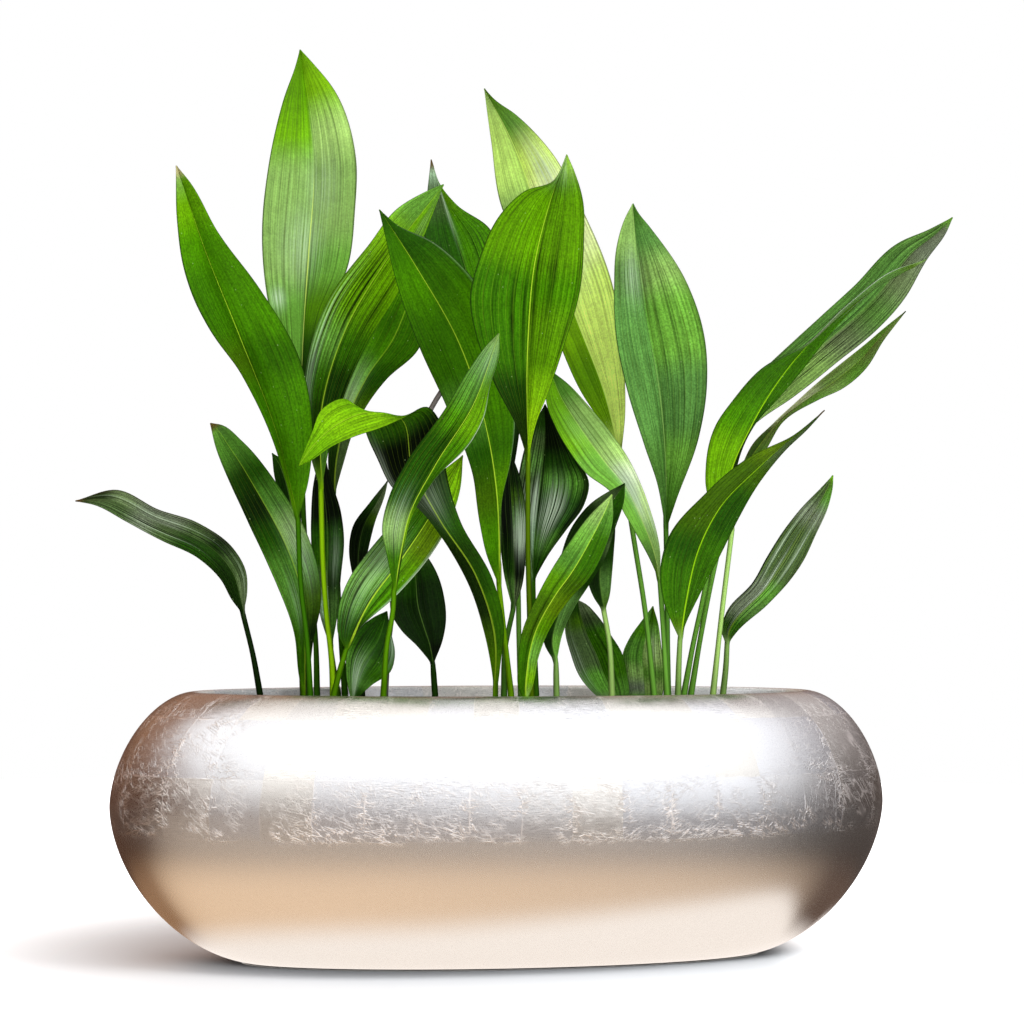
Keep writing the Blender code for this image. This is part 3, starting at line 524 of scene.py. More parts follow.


# Every leaf's stalk, edges, midrib and tip, from the soil up, read off the photograph in pixels
# from its left side and its top. depth is how far behind the planter's middle the foot, the blade's
# base, its middle and its tip lie, and lift how far behind the midrib its edges lie, in metres.
leafReadings = {
    "leaf_01": dict(
        stalk=[(260, 694), (253, 655), (243, 614)],
        left=[(232, 600), (221, 580), (198, 558), (163, 541), (125, 521), (94, 505)],
        right=[(247, 593), (246, 572), (233, 548), (198, 523), (159, 510), (117, 490)],
        tip=(75, 501), depth=(-0.045, -0.055, -0.090, -0.120), lift=(-0.026, 0.030)),
    "leaf_02": dict(
        stalk=[(304, 712), (304, 702)],
        left=[(299, 675), (294, 633), (278, 587), (248, 522), (230, 483), (215, 445)],
        right=[(309, 675), (313, 643), (321, 600), (308, 536), (280, 488), (242, 441), (222, 425)],
        tip=(210, 423), depth=(-0.040, -0.040, -0.010, 0.020), lift=(-0.020, 0.010)),
    "leaf_03": dict(
        stalk=[(303, 694), (300, 630), (296, 560)],
        left=[(288, 528), (280, 500), (274, 474)],
        right=[(301, 525), (298, 490), (286, 462)],
        tip=(272, 453), depth=(0.020, 0.035, 0.045, 0.050), lift=(-0.006, 0.006)),
    "leaf_04": dict(
        stalk=[(310, 694), (307, 639), (301, 587), (298, 520)],
        left=[(288, 488), (268, 428), (240, 372), (207, 325), (186, 277), (177, 220)],
        right=[(309, 478), (312, 420), (299, 357), (262, 292), (218, 232), (190, 182)],
        rib=[(276, 433), (240, 338), (205, 250)],
        tip=(176, 165), depth=(-0.080, -0.085, -0.120, -0.160), lift=(-0.034, -0.006)),
    "leaf_05": dict(
        stalk=[(317, 694), (316, 646), (305, 540), (301, 440)],
        left=[(284, 370), (266, 290), (262, 240), (268, 169), (284, 98), (296, 64)],
        right=[(310, 365), (326, 309), (345, 275), (355, 210), (356, 158), (335, 91), (312, 62)],
        rib=[(303, 340), (309, 250), (314, 170)],
        tip=(300, 49), depth=(0.020, 0.040, 0.070, 0.110), lift=(-0.022, -0.010)),
    "leaf_06": dict(
        stalk=[(333, 694), (332, 667), (326, 610), (323, 564), (321, 492)],
        left=[(307, 440), (304, 385), (309, 353), (329, 298), (369, 245), (398, 208), (425, 192)],
        right=[(331, 440), (348, 385), (368, 342), (398, 293), (424, 236), (436, 205)],
        rib=[(321, 410), (345, 330), (385, 262)],
        tip=(444, 184), depth=(-0.030, -0.030, -0.030, -0.030), lift=(-0.026, 0.014)),
    "leaf_07": dict(
        stalk=[(345, 694), (341, 640), (337, 570), (333, 500)],
        left=[(328, 462), (340, 400), (366, 332), (402, 270)],
        right=[(343, 465), (354, 430), (386, 380), (418, 350), (432, 300)],
        tip=(432, 240), depth=(0.045, 0.050, 0.060, 0.080), lift=(-0.008, 0.006)),
    "leaf_08": dict(
        stalk=[(338, 694), (334, 672), (331, 650)],
        left=[(320, 615), (313, 570), (311, 520), (314, 480)],
        right=[(337, 618), (341, 575), (344, 541), (341, 512), (331, 480)],
        tip=(323, 448), depth=(0.006, 0.006, 0.008, 0.010), lift=(-0.002, 0.008)),
    "leaf_09": dict(
        stalk=[(334, 694), (340, 670), (346, 650)],
        left=[(338, 634), (338, 612), (350, 577), (364, 557), (400, 515), (432, 480)],
        right=[(359, 630), (396, 596), (428, 559), (446, 530), (460, 490)],
        rib=[(369, 603), (402, 558), (438, 503)],
        tip=(463, 455), depth=(-0.065, -0.070, -0.070, -0.055), lift=(-0.020, 0.004)),
    "leaf_10": dict(
        stalk=[(352, 712), (352, 703)],
        left=[(346, 675), (347, 652), (358, 630), (374, 617)],
        right=[(372, 685), (391, 671), (395, 655), (391, 632)],
        rib=[(362, 665), (378, 640)],
        tip=(387, 611), depth=(-0.020, -0.020, -0.010, 0.000), lift=(-0.012, 0.006)),
    "leaf_11": dict(
        stalk=[(362, 694), (360, 640), (359, 595)],
        left=[(352, 572), (349, 548), (353, 526), (369, 504)],
        right=[(366, 560), (375, 522), (385, 495)],
        tip=(388, 480), depth=(0.030, 0.030, 0.030, 0.030), lift=(-0.010, 0.008)),
    "leaf_12": dict(
        stalk=[(383.5, 694), (387, 644), (393, 610), (394, 590)],
        left=[(387, 557), (382, 530), (389, 497), (405, 465), (442, 414), (469, 370), (487, 345)],
        right=[(401, 565), (405, 535), (414, 511), (435, 479), (472, 440), (483, 419), (490, 385),
               (499, 353)],
        rib=[(401, 550), (408, 518), (435, 465), (473, 405)],
        tip=(499, 333), depth=(-0.085, -0.110, -0.160, -0.200), lift=(-0.028, 0.020)),
    "leaf_13": dict(
        stalk=[(385, 694), (389, 640), (401, 560), (412, 480), (430, 411), (450, 378)],
        left=[(452, 350), (458, 310), (470, 270), (485, 240)],
        right=[(474, 362), (497, 328), (511, 290), (514, 250)],
        tip=(503, 222), depth=(0.035, 0.125, 0.180, 0.215), lift=(-0.014, 0.020)),
    "leaf_14": dict(
        stalk=[(435, 694), (434, 680), (433, 665)],
        left=[(417, 646), (401, 630), (391, 612), (392, 588), (402, 562)],
        right=[(443, 639), (446, 621), (444, 596), (437, 573), (425, 554)],
        tip=(412, 543), depth=(0.005, 0.005, 0.010, 0.020), lift=(-0.016, 0.002)),
    "leaf_15": dict(
        stalk=[(495.5, 712), (495.5, 702)],
        left=[(491, 665), (483, 628), (474, 598), (442, 538), (421, 511), (391, 486), (377, 458),
              (367, 436), (360, 412), (345, 399), (322, 409), (312, 432)],
        right=[(500, 668), (504, 625), (493, 580), (460, 520), (446, 470), (442, 425), (428, 407),
               (402, 419), (381, 428), (356, 436), (331, 447), (312, 460)],
        rib=[(494, 630), (476, 575), (440, 520), (412, 466), (400, 418), (372, 412), (338, 424),
             (312, 447)],
        tip=(298, 467), depth=(-0.060, -0.060, -0.105, -0.150), lift=(0.006, -0.006), station=0.020),
    "leaf_16": dict(
        stalk=[(504, 694), (505, 650), (513, 610)],
        left=[(504, 575), (500, 540), (498, 505), (501, 472)],
        right=[(521, 590), (526, 550), (526, 510), (519, 474)],
        tip=(508, 446), depth=(0.030, 0.020, 0.020, 0.020), lift=(-0.006, 0.004)),
    "leaf_17": dict(
        stalk=[(511, 694), (505, 640), (499, 586)],
        left=[(487, 556), (480, 525), (472, 472), (448, 410), (421, 351), (401, 298), (386, 240)],
        right=[(501, 545), (502, 499), (511, 460), (515, 426), (507, 350), (470, 275), (435, 243),
               (396, 224)],
        rib=[(497, 499), (488, 437), (458, 341), (418, 270)],
        tip=(379, 209), depth=(-0.020, -0.030, -0.050, -0.090), lift=(-0.022, 0.004)),
    "leaf_18": dict(
        stalk=[(521, 694), (519, 640), (518, 587), (510, 490)],
        left=[(485, 420), (455, 350), (432, 290), (424, 240), (427, 195)],
        right=[(520, 425), (515, 330), (505, 265), (490, 229), (456, 204), (440, 184)],
        rib=[(496, 400), (466, 270), (447, 210)],
        tip=(431, 159), depth=(0.060, 0.090, 0.130, 0.170), lift=(-0.024, -0.004)),
    "leaf_19": dict(
        stalk=[(525, 712), (525, 704)],
        left=[(518, 686), (518, 665), (521, 637), (539, 593), (569, 543), (590, 515)],
        right=[(532, 688), (539, 655), (549, 630), (571, 598), (588, 580), (604, 550), (613, 518)],
        tip=(612, 494), depth=(-0.080, -0.080, -0.110, -0.130), lift=(-0.014, 0.018)),
    "leaf_20": dict(
        stalk=[(531, 694), (530, 640), (528, 550), (528, 462)],
        left=[(518, 430), (493, 380), (476, 335), (470, 300), (481, 254), (500, 215), (525, 191),
              (553, 181)],
        right=[(536, 424), (549, 391), (566, 340), (580, 291), (584, 240), (583, 200), (574, 170)],
        rib=[(527, 415), (528, 340), (535, 262), (550, 202)],
        tip=(567, 154), depth=(-0.030, -0.080, -0.125, -0.120), lift=(-0.026, -0.010)),
    "leaf_21": dict(
        stalk=[(536, 694), (534, 630), (533, 582)],
        left=[(520, 552), (515, 518), (519, 472), (531, 430)],
        right=[(549, 554), (567, 529), (584, 505), (589, 483), (578, 460), (558, 425)],
        rib=[(534, 540), (539, 490), (545, 440)],
        tip=(545, 404), depth=(0.030, 0.035, 0.040, 0.045), lift=(-0.012, -0.010)),
    "leaf_22": dict(
        stalk=[(556.5, 694), (556, 664)],
        left=[(544, 643), (548, 610), (556, 575), (573, 525), (590, 504), (611, 490)],
        right=[(562, 636), (576, 605), (590, 584), (604, 561), (615, 529), (624, 500)],
        tip=(625, 483), depth=(-0.020, -0.020, -0.035, -0.055), lift=(-0.006, 0.014)),
    "leaf_23": dict(
        stalk=[(612, 694), (609, 640), (604, 612)],
        left=[(594, 598), (588, 582), (590, 550), (598, 522)],
        right=[(609, 598), (612, 575), (614, 550), (615, 524)],
        tip=(611, 500), depth=(-0.010, -0.010, -0.005, 0.000), lift=(-0.008, 0.008)),
    "leaf_24": dict(
        stalk=[(614, 713), (614, 708)],
        left=[(598, 697), (580, 677), (571, 655), (565, 626), (569, 608)],
        right=[(628, 697), (627, 674), (622, 653), (611, 635), (597, 615), (586, 604)],
        tip=(578, 600), depth=(0.030, 0.030, 0.035, 0.040), lift=(-0.012, -0.004)),
    "leaf_25": dict(
        stalk=[(646, 713), (646, 708)],
        left=[(630, 697), (624, 675), (623, 653), (629, 639), (643, 619)],
        right=[(661, 697), (664, 675), (661, 644), (658, 623)],
        tip=(653, 606), depth=(0.055, 0.055, 0.060, 0.065), lift=(-0.004, -0.012)),
    "leaf_26": dict(
        stalk=[(654, 694), (645, 610), (633, 534), (621, 455)],
        left=[(606, 430), (580, 390), (560, 345), (540, 290), (520, 245), (503, 211), (491, 140)],
        right=[(625, 414), (624, 365), (611, 280), (584, 213), (552, 153), (515, 114), (494, 99)],
        rib=[(605, 393), (577, 319), (540, 218), (511, 139)],
        tip=(484, 88), depth=(0.020, 0.060, 0.100, 0.140), lift=(0.004, -0.030)),
    "leaf_27": dict(
        stalk=[(667, 694), (663, 625), (660, 582)],
        left=[(652, 564), (627, 518), (611, 492), (585, 472), (569, 451), (555, 426), (546, 400)],
        right=[(660, 550), (650, 509), (627, 456), (611, 433), (588, 405), (566, 382)],
        tip=(550, 370), depth=(-0.030, -0.030, -0.010, 0.000), lift=(-0.014, -0.002)),
    "leaf_28": dict(
        stalk=[(668, 694), (667, 591), (666, 530)],
        left=[(657, 483), (644, 444), (626, 385), (616, 335), (614, 288), (617, 245), (625, 218)],
        right=[(676, 501), (699, 437), (707, 385), (705, 340), (687, 283), (650, 227), (638, 212)],
        rib=[(665, 455), (660, 395), (645, 310), (636, 240)],
        tip=(633, 203), depth=(0.025, 0.020, 0.020, 0.030), lift=(-0.018, -0.014)),
    "leaf_29": dict(
        stalk=[(678, 694), (679, 660), (680, 640)],
        left=[(672, 623), (663, 600), (660, 575), (668, 538), (707, 492), (751, 456), (794, 435)],
        right=[(686, 623), (698, 598), (723, 550), (737, 522), (755, 490), (787, 449), (808, 429)],
        rib=[(686, 600), (700, 545), (720, 507), (760, 466)],
        tip=(825, 410), depth=(-0.030, -0.040, -0.085, -0.120), lift=(-0.026, 0.018)),
    "leaf_30": dict(
        stalk=[(684, 694), (692, 650), (707, 577), (714, 500)],
        left=[(714, 455), (730, 412), (751, 383), (797, 338), (853, 287), (898, 243), (930, 229)],
        right=[(726, 465), (751, 428), (795, 396), (840, 360), (880, 327), (905, 298), (928, 258),
               (946, 233)],
        tip=(953, 217), depth=(0.050, 0.060, 0.080, 0.100), lift=(0.022, -0.026)),
    "leaf_31": dict(
        stalk=[(691, 694), (700, 640), (716, 560), (737, 478)],
        left=[(754, 442), (774, 423), (816, 384), (864, 345), (892, 322)],
        right=[(762, 455), (784, 421), (818, 400), (843, 388), (866, 368), (884, 340)],
        tip=(906, 311), depth=(0.085, 0.100, 0.120, 0.140), lift=(0.024, -0.026)),
    "leaf_32": dict(
        stalk=[(713, 694), (721, 620), (732, 530)],
        left=[(716, 512), (707, 493), (706, 465), (716, 425), (733, 400), (760, 370), (807, 343),
              (848, 304), (890, 272)],
        right=[(735, 497), (737, 467), (754, 426), (779, 398), (800, 373), (841, 322), (887, 279),
               (915, 266)],
        rib=[(729, 480), (751, 426), (791, 364), (850, 306)],
        tip=(927, 259), depth=(0.020, 0.000, 0.000, -0.010), lift=(-0.026, 0.012)),
    "leaf_33": dict(
        stalk=[(723, 694), (726, 665), (727, 645)],
        left=[(721, 630), (726, 613), (753, 582), (767, 557), (785, 529), (799, 511), (822, 487)],
        right=[(736, 633), (767, 605), (790, 580), (803, 561), (815, 536), (829, 504), (833, 485)],
        tip=(833, 475), depth=(0.050, 0.040, 0.020, 0.000), lift=(-0.018, 0.024)),
}

# How a leaf grows out of those lines, in metres
growth = {
    "stalkRadius": 0.0027, "footRadius": 0.0034, "straightStalk": 0.006, "sheath": 0.05,
    "tipRadius": 0.0005, "tipShare": 0.9985, "buried": 0.012, "roundEdge": 0.16,
    "edgeHalf": 0.00018, "bladeHalf": 0.00026, "ribHalf": 0.0009, "ribReach": 0.0016,
    "bladeStep": 0.0038, "stalkStep": 0.009, "fewestSteps": 24, "columnsPerHalf": 36,
    "arch": 0.07, "liftFullness": 0.6, "wave": 0.0028, "waveLength": 0.115,
    "waveShiftByLeaf": 1.7, "waveShiftBySide": 1.1, "ribEndShare": 0.25,
    "pleatWidth": 0.0058, "fewestPleats": 3, "mostPleats": 8, "pleatHeight": 0.030, "pleatStart": 0.004,
    "buckle": 0.0007, "bucklesPerMetre": 26.0, "bucklesAcross": 1.6, "buckleShiftByLeaf": 3.7,
    "buckleStart": 0.008,
}


def onPlane(pixels):
    # Points read off the picture, as metres across and up on an upright plane through the middle
    off = np.array(pixels, float) - shot["pictureSize"] / 2
    cos, sin = math.cos(shot["roll"]), math.sin(shot["roll"])
    right, down = off[:, 0] * cos + off[:, 1] * sin, off[:, 1] * cos - off[:, 0] * sin
    cos, sin, scale = math.cos(shot["raise"]), math.sin(shot["raise"]), shot["pixelsPerSlope"]
    rise = shot["distance"] * (scale * sin - down * cos) / (scale * cos + down * sin)
    forward = shot["distance"] * cos + rise * sin
    return np.stack([shot["across"] + right * forward / scale, shot["height"] + rise], axis=1)


def inSpace(seen, depth):
    # Points on that plane, moved along their lines of sight to these depths
    away = 1 + depth / shot["distance"]
    across = shot["across"] + (seen[:, 0] - shot["across"]) * away
    return turned(across, depth, shot["height"] + (seen[:, 1] - shot["height"]) * away)


def smoothThrough(knots, values, places):
    knots, values, places = np.array(knots, float), np.array(values, float), np.array(places, float)
    slopes = np.gradient(values, knots, axis=0)
    left = np.clip(np.searchsorted(knots, places, side="right") - 1, 0, len(knots) - 2)
    gap = knots[left + 1] - knots[left]
    t = (places - knots[left]) / gap
    weights = [2 * t**3 - 3 * t**2 + 1, (t**3 - 2 * t**2 + t) * gap, 3 * t**2 - 2 * t**3, (t**3 - t**2) * gap]
    if values.ndim > 1:
        weights = [weight[:, None] for weight in weights]
    return (weights[0] * values[left] + weights[1] * slopes[left]
            + weights[2] * values[left + 1] + weights[3] * slopes[left + 1])


def curveThrough(points, shares):
    along = lengthsAlong(points)
    return smoothThrough(along / along[-1], points, shares)


def leafLines(reading, number):
    # Left edge, midrib and right edge in space from foot to tip, the radius there, and the places along
    seen = {line: onPlane(reading[line]) for line in ("stalk", "left", "right", "rib") if line in reading}
    base, tip = seen["stalk"][-1], onPlane([reading["tip"]])[0]
    stalk, blade = [lengthsAlong(line)[-1] for line in (seen["stalk"], [base, *seen.get("rib", ()), tip])]
    stalkSteps = max(2, round(stalk / growth["stalkStep"]))
    bladeSteps = max(growth["fewestSteps"], round(blade / growth["bladeStep"]))
    stalkShares = np.arange(stalkSteps) / stalkSteps
    shares = np.arange(bladeSteps + 1) / bladeSteps * growth["tipShare"]
    left = curveThrough([base, *seen["left"], tip], shares)
    right = curveThrough([base, *seen["right"], tip], shares)
    rib = curveThrough([base, *seen["rib"], tip], shares) if "rib" in seen else (left + right) / 2
    middle = np.concatenate([curveThrough(seen["stalk"], stalkShares), rib])
    onward = np.gradient(middle, axis=0)
    side = unit(np.stack([-onward[:, 1], onward[:, 0]], axis=1))
    swell = np.clip(1 - stalkShares * stalk / growth["sheath"], 0, 1)
    thick, thin = growth["stalkRadius"], growth["tipRadius"]
    radius = np.concatenate([thick + (growth["footRadius"] - thick) * swell,
                             thick * (1 - shares) + thin * shares])
    along = np.concatenate([stalkShares * stalk, stalk + shares * blade])
    depth = smoothThrough([0, stalk, stalk + blade / 2, stalk + blade], reading["depth"], along)
    spread = np.concatenate([np.zeros(stalkSteps), (4 * shares * (1 - shares)) ** growth["liftFullness"]])
    lines = []
    for sign, edge, lift in ((1, left, reading["lift"][0]), (-1, right, reading["lift"][1])):
        reach = np.concatenate([np.zeros((stalkSteps, 2)), edge - rib])
        size = np.linalg.norm(reach, axis=1)
        narrow = size < radius
        reach[narrow] = (side * sign * radius[:, None])[narrow]
        start = growth["waveShiftByLeaf"] * number + growth["waveShiftBySide"] * sign
        wave = growth["wave"] * np.sin(fullTurn * along / growth["waveLength"] + start)
        lines.append(inSpace(middle + reach, depth + spread * (lift + wave)))
    bladeShare = np.concatenate([(stalkShares - 1) * stalk / blade, shares])
    return lines[0], inSpace(middle, depth), lines[1], radius, along, bladeShare


def facingOf(surface):
    return unit(np.cross(np.gradient(surface, axis=0), np.gradient(surface, axis=1)))


def leafShape(reading, number):
    left, middle, right, radius, along, bladeShare = leafLines(reading, number)
    foot = growth["footRadius"] * turned(1.0, 0.0, 0.0)
    heights = (bed["level"] - growth["buried"], bed["level"] + growth["straightStalk"])
    buried = np.array([[middle[0][0], middle[0][1], height] for height in heights])
    left, right = np.concatenate([buried - foot, left]), np.concatenate([buried + foot, right])
    middle = np.concatenate([buried, middle])
    radius = np.concatenate([[growth["footRadius"]] * 2, radius])
    along = np.concatenate([heights - middle[2][2], along])
    bladeShare = np.concatenate([[bladeShare[0]] * 2, bladeShare])
    places = np.linspace(-1, 1, 2 * growth["columnsPerHalf"] + 1)
    share = np.abs(places)[None, :, None]
    edge = np.where(places[None, :, None] < 0, left[:, None], right[:, None])
    surface = middle[:, None] + (edge - middle[:, None]) * share
    facing = facingOf(surface)
    widths = [np.linalg.norm(line - middle, axis=1) for line in (left, right)]
    width = np.where(places[None] < 0, widths[0][:, None], widths[1][:, None])
    stem = np.clip((radius[:, None] / width) ** 2, 0, 1)
    share = share[..., 0]
    reach = share * width
    roundHalf = radius[:, None] * np.maximum(np.sqrt(1 - share**2), growth["roundEdge"])
    bladeHalf = growth["edgeHalf"] + (growth["bladeHalf"] - growth["edgeHalf"]) * (1 - share)
    ribSize = growth["ribHalf"] * np.clip(1 - bladeShare, growth["ribEndShare"], 1)[:, None]
    bladeHalf = bladeHalf + (ribSize - bladeHalf) * np.exp(-(reach / growth["ribReach"]) ** 2)
    thickness = bladeHalf + (roundHalf - bladeHalf) * stem
    # Pleats run the length of the blade and draw together at its ends, as its veins do
    widest = max(widths[0].max(), widths[1].max())
    pleats = int(np.clip(round(widest / growth["pleatWidth"]), growth["fewestPleats"], growth["mostPleats"]))
    flat = 1 - stem
    onBlade = np.clip(bladeShare, 0, 1)
    ends = np.clip(4 * onBlade * (1 - onBlade), 0, 1) ** 0.5
    relief = growth["pleatHeight"] * width / pleats * np.cos(fullTurn * pleats * share) * flat
    relief *= ends[:, None] * np.clip(reach / growth["pleatStart"], 0, 1)
    arch = growth["arch"] * np.clip(width - radius[:, None], 0, None) * np.sin(math.pi * share)
    shift = number * growth["buckleShiftByLeaf"]
    buckles = np.array([[noise.noise((bend, place, shift)) for place in places * growth["bucklesAcross"]]
                        for bend in along * growth["bucklesPerMetre"]])
    buckles *= flat * ends[:, None] * np.clip(reach / growth["buckleStart"], 0, 1)
    lift = relief - arch + growth["buckle"] * buckles
    surface = surface + facing * lift[..., None]
    half = facingOf(surface) * thickness[..., None]
    rings = np.concatenate([surface - half, (surface + half)[:, ::-1]], axis=1)
    across = np.broadcast_to(places[None], width.shape)
    measures = {
        "across": across, "share": np.broadcast_to(bladeShare[:, None], width.shape),
        "reach": reach * 1000, "along": np.broadcast_to(along[:, None] * 1000, width.shape),
        "pleat": pleats * np.broadcast_to(share, width.shape),
    }
    return rings, {key: np.concatenate([value, value[:, ::-1]], axis=1) for key, value in measures.items()}


# Shades that leaves are made up from, as a screen shows them. Frost, silver and milk are painted sheen
shades = {
    "black": (6, 14, 3), "ink": (12, 32, 3), "bottle": (20, 50, 3), "pine": (28, 68, 3),
    "forest": (44, 91, 2), "emerald": (59, 114, 2), "moss": (50, 82, 3), "olive": (74, 104, 4),
    "grass": (72, 120, 2), "leaf": (90, 143, 5), "spring": (108, 161, 8), "lime": (131, 181, 10),
    "citron": (212, 246, 116), "milk": (232, 250, 172), "pear": (170, 207, 98), "pale": (146, 183, 96),
    "sage": (114, 150, 74), "jade": (94, 147, 50), "fern": (68, 116, 34), "sea": (68, 110, 44),
    "reed": (76, 122, 54), "mist": (69, 106, 44), "slate": (55, 75, 38), "ash": (86, 104, 66),
    "pewter": (88, 99, 78), "silver": (146, 178, 142), "frost": (196, 216, 170),
    "stone": (104, 98, 94), "straw": (172, 166, 116), "bark": (80, 60, 30),
}
